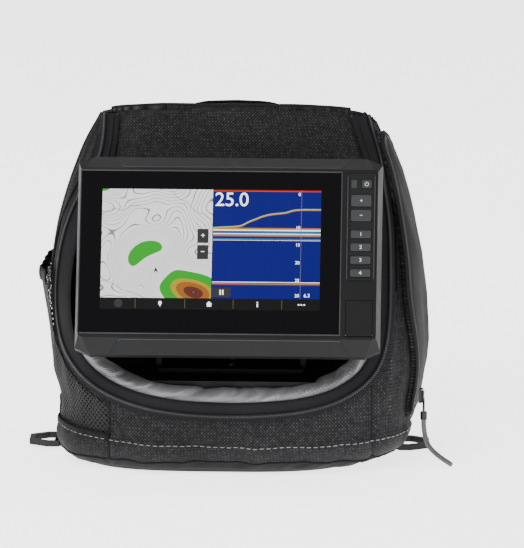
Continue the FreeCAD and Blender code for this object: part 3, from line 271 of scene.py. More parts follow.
def threads(shader, period, turn=0.0):
    """Plain-weave height and a random value per crossing, from the UV map in metres."""
    cells = shader.mapped("UV", (1 / period, 1 / period, 1), turn)
    u, v, _ = shader.split(cells)
    over = shader.math("PINGPONG", shader.plus(shader.math("FLOOR", u), shader.math("FLOOR", v)), 1)
    across_u, across_v = [shader.math("SINE", shader.times(shader.math("FRACT", way), math.pi))
                          for way in (u, v)]
    warp, weft = [shader.times(shader.math("POWER", one, 0.5), shader.plus(shader.times(other, 0.55), 0.45))
                  for one, other in ((across_u, across_v), (across_v, across_u))]
    under = shader.times(shader.times(weft, 0.82), shader.math("SUBTRACT", 1, over))
    pick = shader.plus(shader.times(warp, over), under)
    snap = shader.node("ShaderNodeVectorMath", operation="FLOOR")
    shader.join(cells, snap.inputs[0])
    chance = shader.node("ShaderNodeTexWhiteNoise")
    shader.join(snap.outputs[0], chance.inputs["Vector"])
    return pick, chance.outputs["Value"]


def woven(name, color, period=0.0021, depth=0.0004, roughness=0.72, sheen=0.0, contrast=0.75, turn=0.0,
          shine=0.12):
    """Woven cloth: threads over and under, with colour that varies at random from thread to thread, plus
    painted shade in the low places of the weave and a painted highlight on the thread tops.
    """
    shader = Shader(name, color, roughness, specular=shine)
    height, chance = threads(shader, period, turn)
    # Colour follows the weave's height: painted shade where the threads dip under, a painted highlight on
    # their tops; the random share per crossing is the threads' own tone.
    level = shader.plus(shader.times(height, 0.75), shader.times(chance, 0.25))
    low, high, bright = [tuple(c * share for c in color)
                         for share in (1 - contrast, 1 + contrast, 1 + 2.2 * contrast)]
    cloth = shader.ramp(level, [(0.25, low), (0.72, color), (0.88, high), (1.0, bright)])
    patch = shader.ramp(shader.noise(11, 4), [(0.3, (0.8, 0.8, 0.8)), (0.7, (1.15, 1.15, 1.15))])
    worn = shader.mix_color(1, cloth, patch, "MULTIPLY")
    shader.join(worn, shader.bsdf.inputs["Base Color"])
    shader.bsdf.inputs["Sheen Weight"].default_value = sheen
    shader.bsdf.inputs["Sheen Roughness"].default_value = 0.5
    shader.bump(height, depth, 0.8)
    return shader.mat


def netting(name, color, period=0.0034):
    """Open mesh: round holes between knitted threads, cut out by alpha, with painted shade on the threads
    towards the holes and a painted highlight along their crests.
    """
    shader = Shader(name, color, 0.7)
    places = shader.split(shader.mapped("UV", (1 / period, 1 / period, 1), math.radians(38)))
    waves = [shader.math("COSINE", shader.times(places[i], 2 * math.pi)) for i in (0, 1)]
    total = shader.plus(waves[0], waves[1])
    solid = shader.math("LESS_THAN", total, 0.75)
    height = shader.math("SUBTRACT", 2, total)
    # Painted shade towards the holes and a painted highlight on the threads' crests, ramped from the height.
    tone = shader.ramp(shader.times(height, 0.3),
                       [(0.2, tuple(c * 0.5 for c in color)), (0.9, tuple(c * 2.2 for c in color))])
    shader.join(tone, shader.bsdf.inputs["Base Color"])
    shader.join(solid, shader.bsdf.inputs["Alpha"])
    shader.bump(height, 0.0004, 0.8)
    return shader.mat


def flat_glow(name, color, strength, roughness=0.4):
    """A lit area of the screen; the key signs use it too, as a painted glow on their white print."""
    shader = Shader(name, (0.004, 0.004, 0.004), roughness, specular=0.06)
    shader.shine(color, strength)
    return shader.mat


CLOTH_BLACK = (0.0195, 0.0197, 0.0207)
MATS = {
    "bezel": moulded("bezel_plastic", (0.0048, 0.005, 0.0053), 0.5),
    "trim": moulded("trim_plastic", (0.004, 0.0042, 0.0046), 0.46),
    "surround": moulded("surround_plastic", (0.0082, 0.0084, 0.0089), 0.42),
    "housing": moulded("housing_plastic", (0.007, 0.0075, 0.008), 0.5, grain=1500, depth=0.0001),
    "tray": moulded("tray_plastic", (0.005, 0.0052, 0.006), 0.42, grain=1200, depth=0.0001),
    "battery": moulded("battery_case", (0.03, 0.03, 0.032), 0.5),
    "key": moulded("key_rubber", (0.034, 0.035, 0.037), 0.6),
    # Pale plastic for the light sensor window, also used for the beads that paint edge highlights on the
    # display's front.
    "edge": moulded("sensor_window_and_rim_highlight", (0.035, 0.036, 0.038), 0.4),
    "seal": moulded("seal_rubber", (0.006, 0.006, 0.006), 0.7),
    "ring": moulded("ring_nylon", (0.012, 0.0125, 0.0135), 0.34),
    "foam": moulded("pad_foam", (0.05, 0.05, 0.052), 0.9, grain=700, depth=0.0004),
    "board": moulded("circuit_board", (0.01, 0.09, 0.035), 0.4),
    "steel": metal("screw_steel", (0.55, 0.55, 0.56)),
    "brass": metal("terminal_brass", (0.72, 0.55, 0.24)),
    "enamel": metal("zip_enamel", (0.03, 0.03, 0.033), 0.4),
    "cloth": woven("bag_cloth", CLOTH_BLACK, turn=math.radians(45), contrast=0.9),
    "tape": woven("zip_tape", (0.012, 0.012, 0.0135), 0.0007, 0.0001, 0.8, 0.0, 0.5),
    "webbing": woven("webbing", (0.009, 0.009, 0.01), 0.0016, 0.0004, 0.75, 0.0, 0.7),
    "lining": woven("lining_cloth", (0.19, 0.192, 0.197), 0.0009, 0.0001, 0.6, 0.15, 0.25),
    "inner": woven("inner_coating", (0.008, 0.008, 0.009), 0.0012, 0.0001, 0.3, 0.0, 0.3, shine=0.5),
    "sole": woven("sole_cloth", (0.008, 0.0082, 0.0089), 0.0011, 0.0001, 0.7, 0.0, 0.3),
    "mesh": netting("mesh_cloth", (0.0045, 0.0045, 0.005)),
    "thread": woven("stitch_thread", (0.24, 0.24, 0.245), 0.0006, 0.0001, 0.6, 0.1, 0.3),
    "teeth": moulded("zip_teeth", (0.06, 0.06, 0.062), 0.35),
    "cord": woven("braided_cord", (0.15, 0.155, 0.16), 0.0013, 0.0004, 0.7, 0.15, 0.7, math.radians(45)),
    # The keys' white print, made to glow: painted light.
    "legend": flat_glow("key_legend", (0.8, 0.82, 0.85), 1.5, 0.5),
}


def glass_material():
    shader = Shader("cover_glass", (0.002, 0.002, 0.0025), 0.07, specular=0.16)
    shader.join(shader.plus(shader.times(shader.noise(40, 3), 0.03), 0.05),
                shader.bsdf.inputs["Roughness"])
    return shader.mat


MATS["glass"] = glass_material()


def paint(node, key):
    """Gives a shown CAD node its material."""
    mesh = NODES[node].data
    mesh.materials.clear()
    mesh.materials.append(MATS[key])


PAINT = {
    "bezel": ["front_bezel", "card_door"], "trim": ["top_trim_cap", "bottom_trim_cap"],
    "surround": ["key_surround"], "glass": ["touch_glass", "lcd_panel"],
    "housing": ["rear_housing", "dock_plug", "cradle", "cradle_latch", "power_socket", "sonar_socket",
                "bail_bracket", "tilt_knob_left", "tilt_knob_right", "card_socket", "backlight_frame"],
    "tray": ["base_tray", "tray_lid"], "battery": ["battery"], "brass": ["battery_terminals"],
    "edge": ["light_sensor_window"],
    "key": ["power_key", "zoom_in_key", "zoom_out_key", "preset_key_1", "preset_key_2", "preset_key_3",
            "preset_key_4", "key_membrane"],
    "seal": ["housing_gasket"], "steel": ["housing_screws", "card_door_pin"],
    "board": ["main_board", "key_board"],
    "ring": ["d_ring_left", "d_ring_right"],
    "enamel": ["tray_screws", "front_zip_slider_left", "front_zip_slider_right", "side_zip_slider"],
}

# ---------------------------------------------------------------- the bag's shape

# Height, then the reach to the left, right, front and back, as in the CAD
STATIONS = np.array([
    (0, 140, 118, 96, 98), (14, 157, 150, 108, 111), (40, 156, 162, 112, 116), (80, 158, 168, 107, 117),
    (120, 162, 169, 98, 117), (170, 165, 165, 80, 115), (220, 158, 155, 52, 113), (262, 143, 141, 20, 110),
    (295, 126, 127, -2, 106), (326, 114, 106, -19, 100)]) * MM
OPENING = np.array([
    (-118, 332), (-118.5, 296), (-123, 270), (-135, 248), (-150, 215), (-158, 175), (-158, 135), (-148, 102),
    (-120, 77), (-75, 62), (-25, 56.5), (25, 56.5), (75, 62), (112, 75), (136, 98), (144, 135), (144.5, 180),
    (142, 220), (137, 248), (133, 270), (124, 296), (111, 332)]) * MM
ROUNDNESS = 3.2
SEAM_LEFT, SEAM_RIGHT = -0.108, 0.130
RIDGE = Vector((0, 0.015, 0.318))
ROOF_SLOPE = 0.45
SKIN = 1.6 * MM


def spline(knots, values, at):
    """Natural cubic spline through values at knots, evaluated at many places."""
    n = len(knots)
    h = np.diff(knots)
    matrix = np.eye(n)
    right = np.zeros((n,) + values.shape[1:])
    for i in range(1, n - 1):
        matrix[i, i - 1:i + 2] = h[i - 1], 2 * (h[i - 1] + h[i]), h[i]
        right[i] = 6 * ((values[i + 1] - values[i]) / h[i] - (values[i] - values[i - 1]) / h[i - 1])
    curve = np.linalg.solve(matrix, right)
    k = np.clip(np.searchsorted(knots, at) - 1, 0, n - 2)
    shape = (-1,) + (1,) * (values.ndim - 1)
    a = ((knots[k + 1] - at) / h[k]).reshape(shape)
    b = 1 - a
    step = (h[k] ** 2 / 6).reshape(shape)
    return a * values[k] + b * values[k + 1] + ((a ** 3 - a) * curve[k] + (b ** 3 - b) * curve[k + 1]) * step


def reaches(z):
    """Centre and half sizes of the bag's section at heights z."""
    left, right, front, back = spline(STATIONS[:, 0], STATIONS[:, 1:], np.asarray(z, float).ravel()).T
    return (right - left) / 2, (left + right) / 2, (back - front) / 2, (front + back) / 2


def front_y(x, z, out=0.0):
    """Where the bag's front face is at a place seen from the front."""
    cx, hx, cy, hy = reaches(z)
    share = np.clip(np.abs((np.ravel(x) - cx) / (hx + out)), 0, 0.999)
    return cy - (hy + out) * (1 - share ** ROUNDNESS) ** (1 / ROUNDNESS)


def side_x(y, z, side, out=0.0):
    """Where the bag's side face is at a place seen from the side."""
    cx, hx, cy, hy = reaches(z)
    share = np.clip(np.abs((np.ravel(y) - cy) / (hy + out)), 0, 0.999)
    return cx + side * (hx + out) * (1 - share ** ROUNDNESS) ** (1 / ROUNDNESS)


def roof_z(y):
    return RIDGE.z - ROOF_SLOPE * np.maximum(0, y - RIDGE.y)


def ridge_line(xs):
    """Depth and height of the place where the front face meets the sloping top."""
    xs = np.asarray(xs, float)
    low, high = np.full(len(xs), 0.25), np.full(len(xs), 0.3255)
    for _ in range(30):
        middle = (low + high) / 2
        under = roof_z(front_y(xs, middle)) > middle
        low, high = np.where(under, middle, low), np.where(under, high, middle)
    return front_y(xs, low), low


def curve_length(points):
    steps = np.linalg.norm(np.diff(points, axis=0), axis=1)
    return np.concatenate([[0], np.cumsum(steps)])


def values_at(values, length, at):
    """Values that belong to a polyline's points, at other lengths along it."""
    return np.stack([np.interp(at, length, column) for column in values.T], 1)


def resample(points, count):
    """Evenly spaced points along a polyline."""
    length = curve_length(points)
    return values_at(points, length, np.linspace(0, length[-1], count))


def outline(inset=0.0, count=420):
    """The opening's outline, moved inwards, seen from the front."""
    knots = np.arange(len(OPENING), dtype=float)
    points = resample(spline(knots, OPENING, np.linspace(0, len(OPENING) - 1, 1200)), count)
    ahead = heading(points)
    return points + np.stack([-ahead[:, 1], ahead[:, 0]], 1) * inset


def under_ridge(flat):
    """The points of an outline that lie below the line where the front meets the top."""
    return flat[flat[:, 1] < roof_z(front_y(flat[:, 0], flat[:, 1])) - 0.0008]


def inside(points, polygon):
    """Which points lie in a closed polygon."""
    x, z = points[..., 0], points[..., 1]
    result = np.zeros(x.shape, bool)
    for (ax, az), (bx, bz) in zip(polygon, np.roll(polygon, -1, axis=0)):
        if az != bz:
            result ^= ((az > z) != (bz > z)) & (x < (bx - ax) * (z - az) / (bz - az) + ax)
    return result


FRONT_COLS, SIDE_COLS, BACK_COLS = 118, 136, 88
SEAM_COLUMNS = [0, FRONT_COLS, FRONT_COLS + SIDE_COLS, FRONT_COLS + SIDE_COLS + BACK_COLS]
WALL_ROWS = 132


def rounded_square(turn, power):
    """A circle's points pushed out towards the corners of a square."""
    return [np.sign(way) * np.abs(way) ** power for way in (np.cos(turn), np.sin(turn))]


def wall_grid():
    """The bag's wall as a grid: columns go round it from the left front seam, rows go up to the roof."""
    levels = np.linspace(0, 0.326, 150)
    wave_x, wave_y = rounded_square(np.linspace(0, 2 * np.pi, 1441), 2 / ROUNDNESS)
    table = []
    for cx, hx, cy, hy in zip(*reaches(levels)):
        ring = np.stack([cx + hx * wave_x, cy + hy * wave_y], 1)
        front, back = ring[720:], ring[:721]
        low, high = max(SEAM_LEFT, cx - 0.86 * hx), min(SEAM_RIGHT, cx + 0.86 * hx)
        (front_low, back_low), (front_high, back_high) = [
            [(seam, np.interp(seam, half[:, 0], half[:, 1])) for half in (front, back[::-1])]
            for seam in (low, high)]
        (front_middle, front_left, front_right), (back_middle, back_left, back_right) = [
            (half[(half[:, 0] > low) & (half[:, 0] < high)], half[half[:, 0] <= low], half[half[:, 0] >= high])
            for half in (front, back)]
        runs = [([front_low], front_middle, [front_high], FRONT_COLS),
                ([front_high], np.vstack([front_right, back_right]), [back_high], SIDE_COLS),
                ([back_high], back_middle, [back_low], BACK_COLS),
                ([back_low], np.vstack([back_left, front_left]), [front_low], SIDE_COLS)]
        table.append(np.vstack([resample(np.vstack(run), count + 1)[:-1] for *run, count in runs]))
    table = np.array(table)
    gap = levels[:, None] - roof_z(table[..., 1])
    grid = np.zeros((WALL_ROWS + 1, table.shape[1], 3))
    for c in range(table.shape[1]):
        z = np.linspace(0, np.interp(0, gap[:, c], levels), WALL_ROWS + 1)
        grid[:, c, :2] = values_at(table[:, c], levels, z)
        grid[:, c, 2] = z
    return grid


def grid_normals(grid):
    """Outward normals of a closed grid whose columns go anticlockwise seen from above."""
    along = np.roll(grid, -1, axis=1) - np.roll(grid, 1, axis=1)
    normal = np.cross(along, np.gradient(grid, axis=0))
    return normal / np.maximum(np.linalg.norm(normal, axis=2), 1e-9)[..., None]


def grid_uv(grid):
    """Lengths along the middle row and up the middle column, in metres."""
    return curve_length(grid[grid.shape[0] // 2]), curve_length(grid[:, grid.shape[1] // 2])


def grid_mesh(name, grid, material, keep=None, wrap=False, thick=0.0, inner=None, offset=-1):
    """A mesh of the kept cells of a grid, or all of them, with its thickness inwards unless offset says."""
    rows, columns = grid.shape[:2]
    across, up = grid_uv(grid)
    full = across[-1] + np.linalg.norm(grid[rows // 2, 0] - grid[rows // 2, -1])
    used, vertices, faces, uvs = {}, [], [], []
    for r in range(rows - 1):
        for c in range(columns if wrap else columns - 1):
            if keep is not None and not keep[r, c]:
                continue
            face = []
            for dr, dc in ((0, 0), (0, 1), (1, 1), (1, 0)):
                key = (r + dr, (c + dc) % columns)
                if key not in used:
                    used[key] = len(vertices)
                    vertices.append(grid[key])
                face.append(used[key])
                uvs.append((full if c + dc == columns else across[key[1]], up[key[0]]))
            faces.append(face)
    piece = add_mesh(name, vertices, faces, uvs, material)
    if thick:
        piece.data.materials.append(MATS[inner or material])
        shell = piece.modifiers.new("thickness", "SOLIDIFY")
        shell.thickness, shell.offset, shell.material_offset = thick, offset, 1
        shell.use_even_offset = False
    return piece


def creases(grid, across, scale_x, scale_z, seed):
    """Soft cloth creases over a grid, stretched along one way."""
    result = np.zeros(grid.shape[:2])
    for r, c in np.ndindex(result.shape):
        x, z = across[c] * scale_x, grid[r, c, 2] * scale_z
        result[r, c] = ripple(x, z, seed) + 0.5 * ripple(x * 2.3, z * 2.1, seed + 9)
    return result


# ---------------------------------------------------------------- the bag's wall

WALL = 3.2 * MM
FOOT_HEIGHT = 13.5 * MM


def stitch_height(x):
    """Height of the light stitched line round the bag's foot."""
    return 0.0305 + 0.006 * np.minimum(1, np.abs(x / 0.16)) ** 2


def near(distance, width):
    """1 on a line, falling smoothly to 0 at a distance of width."""
    return np.exp(-(distance / width) ** 2)


def distance_to(edge, grid):
    """How far each place of the bag's front lies from an outline, seen from the front."""
    flat = grid[..., [0, 2]].reshape(-1, 2)
    gap = np.full(len(flat), 1.0)
    in_front = np.flatnonzero((grid[..., 1] < 0.06).ravel())
    for chosen in np.array_split(in_front, 12):
        gap[chosen] = np.linalg.norm(flat[chosen][:, None] - edge[None, ::3], axis=2).min(1)
    return gap.reshape(grid.shape[:2])


def cloth_relief(grid, across, edge):
    """How far the cloth stands out of the CAD surface: creases, puckers, sag, seams and the foot's turn-up."""
    total = across[-1] + 0.0024
    away = (across[:, None] - across[SEAM_COLUMNS][None, :] + total / 2) % total - total / 2
    x, y, z = np.moveaxis(grid, 2, 0)
    to_seam = np.broadcast_to(np.min(np.abs(away), axis=1), z.shape)
    to_edge = distance_to(edge, grid)
    foot_line = stitch_height(x)
    free = np.clip(to_seam / 0.03, 0, 1) * np.clip(z / 0.03, 0, 1) * np.clip(to_edge / 0.02, 0.15, 1)
    soft = creases(grid, across, 14, 9, 3.0)
    fine = creases(grid, across, 42, 16, 11.0)
    push = SKIN + 0.0055 * soft * free + 0.0017 * fine * np.clip(free, 0.2, 1)
    pucker = np.sin(across[None, :] * 2 * math.pi / 0.021 + 2.0 * soft) * near(to_edge - 0.009, 0.012) * 0.0009
    low_sag = near(z - 0.022, 0.02) * 0.0022
    push += pucker + low_sag * (0.6 + 0.8 * fine)
    push -= 0.0017 * near(to_seam, 0.0030) + 0.0009 * near(np.abs(z - foot_line) - 0.0012, 0.0016)
    push += 0.0010 * (z < foot_line + 0.001)
    beside_ring = np.exp(-(y / 0.026) ** 4 - (z / 0.048) ** 4) * (np.abs(x) > 0.11)
    return push * (np.clip(z / 0.006, 0, 1) * (1 - 0.92 * beside_ring))


def make_wall():
    """The wall with its creases, split at the seams into panels, the front opening cut out."""
    grid = wall_grid()
    edge = outline()
    z = grid[..., 2]
    moved = grid + grid_normals(grid) * cloth_relief(grid, grid_uv(grid)[0], edge)[..., None]
    moved[..., 2] = np.where(z < 0.006, z, moved[..., 2])
    moved[0, :, 2] = 0
    following = np.roll(grid, -1, axis=1)
    centres = (grid[:-1] + following[:-1] + grid[1:] + following[1:]) / 4
    cut = inside(centres[..., [0, 2]], edge) & (centres[..., 1] < 0.04)
    snap_to_outline(moved, grid, cut, edge)
    front, right, back, left = [np.searchsorted(SEAM_COLUMNS, np.arange(grid.shape[1]), "right")[None] == k
                                for k in (1, 2, 3, 4)]
    high_front = front & (centres[..., 2] > 0.15)
    foot = centres[..., 2] < FOOT_HEIGHT
    west = centres[..., 0] < 0
    for side, node, panel in (("front", "bag_front_panel", front & ~high_front),
                              ("left", "bag_left_side", left | (high_front & west)),
                              ("right", "bag_right_side", right | (high_front & ~west)),
                              ("back", "bag_back_panel", back)):
        piece = grid_mesh(f"bag_{side}_skin", moved, "cloth", panel & ~cut & ~foot, True, WALL, "inner")
        claim(piece, "bag", node)
    make_foot(moved, foot & ~cut)
    return moved, grid


def snap_to_outline(moved, grid, cut, edge):
    """Pulls the ragged edge of the cut cells onto the outline."""
    touched = np.zeros(grid.shape[:2], int)
    for dr in (0, 1):
        for dc in (0, 1):
            touched[dr:dr + cut.shape[0]] += np.roll(cut, dc, axis=1).astype(int)
    ring = (touched > 0) & (touched < 4) & (grid[..., 1] < 0.06)
    ring[-1] = False
    for r, c in zip(*np.nonzero(ring)):
        here = grid[r, c, [0, 2]]
        x, z = edge[np.argmin(((edge - here) ** 2).sum(1))]
        if np.linalg.norm((x, z) - here) <= 0.006:
            moved[r, c] = x, front_y(x, z)[0] + (moved[r, c, 1] - grid[r, c, 1]) * 0.4, z


def make_foot(moved, keep):
    """The bottom of the bag: the rounded foot and the flat base under it."""
    centre = np.array([-0.008, 0.0, 0.0])
    base = [centre + (moved[0] - centre) * share for share in (0.02, 0.2, 0.4, 0.6, 0.8, 0.94)]
    grid = np.array(base + [row.copy() for row in moved[:8]])
    grid[:len(base), :, 2] = 0.0
    mask = (grid[:-1, :, 2] + grid[1:, :, 2]) / 2 < FOOT_HEIGHT
    mask[len(base):] = keep[:7]
    claim(grid_mesh("bag_base_skin", grid, "sole", mask, True, WALL, "inner"), "bag", "bag_base")


def make_roof(moved):
    """The sloping top: rows run from the ridge to the back, out to the wall's upper edge."""
    rows, columns = 44, 110
    back = moved[-1, :, 1].max()
    grid = np.zeros((rows + 1, columns + 1, 3))
    for r in range(rows + 1):
        y = RIDGE.y + (back - RIDGE.y) * math.sin(r / rows * math.pi / 2)
        cx, hx, cy, hy = [value[0] for value in reaches([roof_z(y)])]
        width = (1 - min(0.9995, abs((y - cy) / (hy + 0.0015))) ** ROUNDNESS) ** (1 / ROUNDNESS)
        reach = (hx + 0.0015) * width
        for c, x in enumerate(np.linspace(cx - reach, cx + reach, columns + 1)):
            edge = min(1, min(c, columns - c) / 9, (rows - r) / 6, r / 5)
            swell = 0.0022 * edge + 0.0028 * edge * ripple(x * 13, y * 20, 5)
            grid[r, c] = x, y, roof_z(y) + (swell + 0.0012 * edge * ripple(x * 38, y * 50, 8))
    piece = grid_mesh("bag_top_skin", grid, "cloth", thick=WALL, inner="inner")
    claim(piece, "bag", "bag_top_panel")


# ---------------------------------------------------------------- cords, tapes and stitches along curves

def tube(name, points, radius, material, body, sides=8, closed=False):
    """A tube along points, in one mesh, with UVs along and round it."""
    count = len(points)
    if closed:
        ahead = unit(np.roll(points, -1, axis=0) - np.roll(points, 1, axis=0))
    else:
        ahead = heading(points)
    side, first = np.cross(ahead[0], (0.3, 0.2, 1)), []
    for way in ahead:
        side = unit(side - way * np.dot(side, way))
        first.append(side)
    second = np.cross(ahead, np.array(first))
    length = curve_length(points)
    width = 2 * math.pi * radius / sides
    vertices, faces, uvs = [], [], []
    for k in range(count):
        for j in range(sides):
            angle = 2 * math.pi * j / sides
            offset = first[k] * math.cos(angle) * radius + second[k] * math.sin(angle) * radius
            vertices.append(points[k] + offset)
    for k in range(count if closed else count - 1):
        here, after = k * sides, (k + 1) % count * sides
        start, end = length[k], length[min(k + 1, count - 1)]
        for j in range(sides):
            other = (j + 1) % sides
            faces.append((here + j, here + other, after + other, after + j))
            uvs += [(start, j * width), (start, (j + 1) * width), (end, (j + 1) * width), (end, j * width)]
    if not closed:
        faces += [tuple(range(sides))[::-1], tuple((count - 1) * sides + j for j in range(sides))]
        uvs += [(0, 0)] * (2 * sides)
    return claim(add_mesh(name, vertices, faces, uvs, material), body)


def beads(name, places, frames, size, material, body):
    """One mesh of many small rounded blocks: frames give each one's along, across and out directions."""
    corners = [(x, y * wide, z * wide) for x, wide in ((-1, 0.6), (-0.55, 1), (0.55, 1), (1, 0.6))
               for y, z in ((-1, -1), (1, -1), (1, 1), (-1, 1))]
    block = [(3, 2, 1, 0), (12, 13, 14, 15)]
    for a, b in ((level * 4 + j, level * 4 + (j + 1) % 4) for level in range(3) for j in range(4)):
        block.append((a, b, b + 4, a + 4))
    local = np.array(corners) * np.array(size) / 2
    vertices, faces = [], []
    for place, axes in zip(places, frames):
        faces += [tuple(len(vertices) + i for i in face) for face in block]
        vertices += list(place + local @ axes)
    uvs = np.array(vertices)[[i for face in faces for i in face]][:, [0, 2]]
    return claim(add_mesh(name, vertices, faces, uvs, material), body)


def frames_along(points, out):
    """Along, across and out directions at each point of a curve."""
    ahead = heading(points)
    out = unit(out - ahead * np.sum(out * ahead, axis=1)[:, None])
    return np.stack([ahead, np.cross(out, ahead), out], axis=1)


def front_curve(inset, out, count=900, high=0.3075):
    """Points and outward directions along the front opening, on the bag's front face."""
    flat = outline(inset, count)
    x, z = under_ridge(flat[flat[:, 1] < high]).T
    small = 0.0008
    slope_x = (front_y(x + small, z) - front_y(x - small, z)) / (2 * small)
    slope_z = (front_y(x, z + small) - front_y(x, z - small)) / (2 * small)
    normal = unit(np.stack([slope_x, -np.ones(len(x)), slope_z], 1))
    return np.stack([x, front_y(x, z, SKIN), z], 1) + normal * out, normal


def spaced(points, normals, pitch):
    """Points and normals at an even pitch along a curve."""
    length = curve_length(points)
    at = np.arange(pitch / 2, length[-1], pitch)
    return values_at(points, length, at), values_at(normals, length, at)


def dashes(name, points, normals, pitch, length, wide, slot="bag_cloth", material="tape"):
    """A row of stitches along a curve on the bag."""
    places, outs = spaced(points, normals, pitch)
    return beads(name, places, frames_along(places, outs), (length, wide, wide), material, "bag")


# ---------------------------------------------------------------- zips

def ribbon(name, points, across, width, thick, material, body, node=None, curl=0.0, rows=2):
    """A tape along points: across is its width direction, one vector or one per point."""
    across = np.broadcast_to(np.asarray(across, float), points.shape)
    ahead = heading(points)
    across = unit(across - ahead * np.sum(across * ahead, axis=1)[:, None])
    out = np.cross(ahead, across)
    grid = np.array([points + across * width * share + out * curl * (0.25 - share * share) * 4
                     for share in np.linspace(-0.5, 0.5, rows + 1)])
    return claim(grid_mesh(name, grid, material, thick=thick, offset=0), body, node)


def coil(name, points, normals, body):
    """A closed zip chain: two rows of small interlocking teeth and the cord under them."""
    places, outs = spaced(points, normals, 0.00115)
    axes = frames_along(places, outs)
    shift = np.where(np.arange(len(places)) % 2 == 0, 1, -1)[:, None]
    beads(name + "_teeth", places + axes[:, 1] * 0.0005 * shift, axes, (0.0008, 0.0019, 0.0012), "teeth", body)
    places, outs = spaced(points, normals, 0.003)
    axes = frames_along(places, outs)
    for side in (-1, 1):
        line = places + axes[:, 1] * 0.0017 * side - axes[:, 2] * 0.0003
        tube(f"{name}_edge_{side}", line, 0.0006, "tape", body, sides=6)


def make_front_zip():
    """The chain round the front opening, the tape either side of it and its stitches."""
    coil("front_zip", *front_curve(0.0, 0.0024), "bag")
    rows = []
    for inset in (-0.0046, -0.0032, -0.0015, 0.0015, 0.005, 0.009, 0.0125):
        level = 0.0008 if inset < 0 else 0.0006 - 0.10 * max(0, inset - 0.004)
        rows.append(resample(front_curve(inset, level, 700)[0], 640))
    tape = grid_mesh("front_zip_tape", np.array(rows), "tape", thick=0.0009, offset=0)
    claim(tape, "bag", "front_zip_chain")
    dashes("front_zip_stitches", *front_curve(-0.0062, 0.0020), 0.0036, 0.0026, 0.0005)


def make_lining():
    """The grey lining that hangs in gathers inside the zip, turning in behind the front wall."""
    rows, count = 16, 1100
    grid = []
    for share in (r / (rows - 1) for r in range(rows)):
        inset = 0.0115 + 0.0105 * math.sin(min(1, share * 1.25) * math.pi / 2) - 0.006 * max(0, share - 0.55)
        row = resample(front_curve(inset, 0.0, 1200, high=0.117)[0], count)
        length = curve_length(row)
        depth = 0.0015 + 0.052 * max(0, share - 0.28) ** 1.3
        wobble = np.array([ripple(s * 58, share * 1.2, 2) + 0.5 * ripple(s * 130, share * 2, 7)
                           for s in length])
        slow = np.array([ripple(s * 21, 3, share) for s in length])
        grow = math.sin(min(1, share * 1.6) * math.pi / 2)
        pleat = np.sin(length * 2 * math.pi / 0.0031 + 5 * slow) * 0.00045
        row = row + np.array([0, 1, 0]) * (depth - grow * (0.0085 * wobble + 0.004 * slow + pleat))[:, None]
        toward = unit(np.stack([-row[:, 0] * 6, np.zeros(count), 0.17 - row[:, 2]], 1))
        grid.append(row + toward * ((0.0065 * slow + 0.0045 * wobble) * share)[:, None])
    piece = grid_mesh("lining_strip", np.array(grid), "lining", thick=0.0008)
    claim(piece, "bag", "bag_lining")


# ---------------------------------------------------------------- side pocket and its zip

def side_frame(y, z):
    """Points a little outside the CAD surface on the bag's right, and their outward directions."""
    small = 0.001
    x = side_x(y, z, 1, SKIN)
    slope_y = (side_x(y + small, z, 1, SKIN) - side_x(y - small, z, 1, SKIN)) / (2 * small)
    slope_z = (side_x(y, z + small, 1, SKIN) - side_x(y, z - small, 1, SKIN)) / (2 * small)
    return np.stack([x, y, z], 1), unit(np.stack([np.ones(len(x)), -slope_y, -slope_z], 1))


def round_corners(corners, radius, step=0.002):
    """A flat path with rounded corners, as points at an even step."""
    corners = np.asarray(corners, float)
    points = [corners[0]]
    for before, corner, after in zip(corners[:-2], corners[1:-1], corners[2:]):
        a, b = before - corner, after - corner
        reach = min(radius, np.linalg.norm(a) / 2.1, np.linalg.norm(b) / 2.1)
        start, end = corner + unit(a) * reach, corner + unit(b) * reach
        for t in np.linspace(0, 1, 12):
            points.append((1 - t) ** 2 * start + 2 * t * (1 - t) * corner + t ** 2 * end)
    points = np.array(points + [corners[-1]])
    return resample(points, max(2, int(curve_length(points)[-1] / step)))


POCKET_OUT = 8 * MM
POCKET_EDGE = np.array([(-50, 42), (-50, 150), (-22, 212), (14, 262), (24, 284), (34, 291)]) * MM
POCKET_BACK = 80 * MM


def make_side_pocket():
    """The pocket on the right side: a low padded door with rounded edges, its zip as a border."""
    low = 0.042
    back_edge = [(POCKET_BACK, roof_z(POCKET_BACK) - 0.018), (POCKET_BACK, low)]
    path = round_corners(np.vstack([POCKET_EDGE, back_edge]), 0.022)
    centre = np.array([0.018, 0.16])
    closed = np.vstack([path, np.stack([np.linspace(POCKET_BACK, -0.05, 60)[1:-1], np.full(58, low)], 1)])
    rows = []
    for share, lift in ((1.0, 0.0004), (0.995, 0.3), (0.985, 0.72), (0.97, 0.9), (0.95, 0.97), (0.90, 1.0),
                        (0.8, 1.02), (0.65, 1.03), (0.5, 1.03), (0.33, 1.03), (0.17, 1.02), (0.02, 1.02)):
        points, normals = side_frame(*(centre + (closed - centre) * share).T)
        fold = np.array([ripple(y * 26, z * 8, 4) for _, y, z in points])
        fine = np.array([ripple(y * 70, z * 24, 9) for _, y, z in points])
        height = (POCKET_OUT - 0.0028) * lift + (0.0034 * fold + 0.0012 * fine) * min(1, lift)
        rows.append(points + normals * np.maximum(height, -0.002)[:, None])
    piece = grid_mesh("side_pocket_door", np.array(rows), "cloth", wrap=True, thick=0.0012)
    set_side_uv(piece.data)
    claim(piece, "bag", "side_pocket")
    points, normals = side_frame(*(centre + (path - centre) * 0.955).T)
    points = points + normals * (POCKET_OUT - 0.0020)
    coil("side_zip", points, normals, "bag")
    flat_way = np.cross(np.gradient(points, axis=0), normals)
    ribbon("side_zip_tape", points - normals * 0.0004, flat_way, 0.013, 0.0009, "tape", "bag",
           "side_zip_chain")


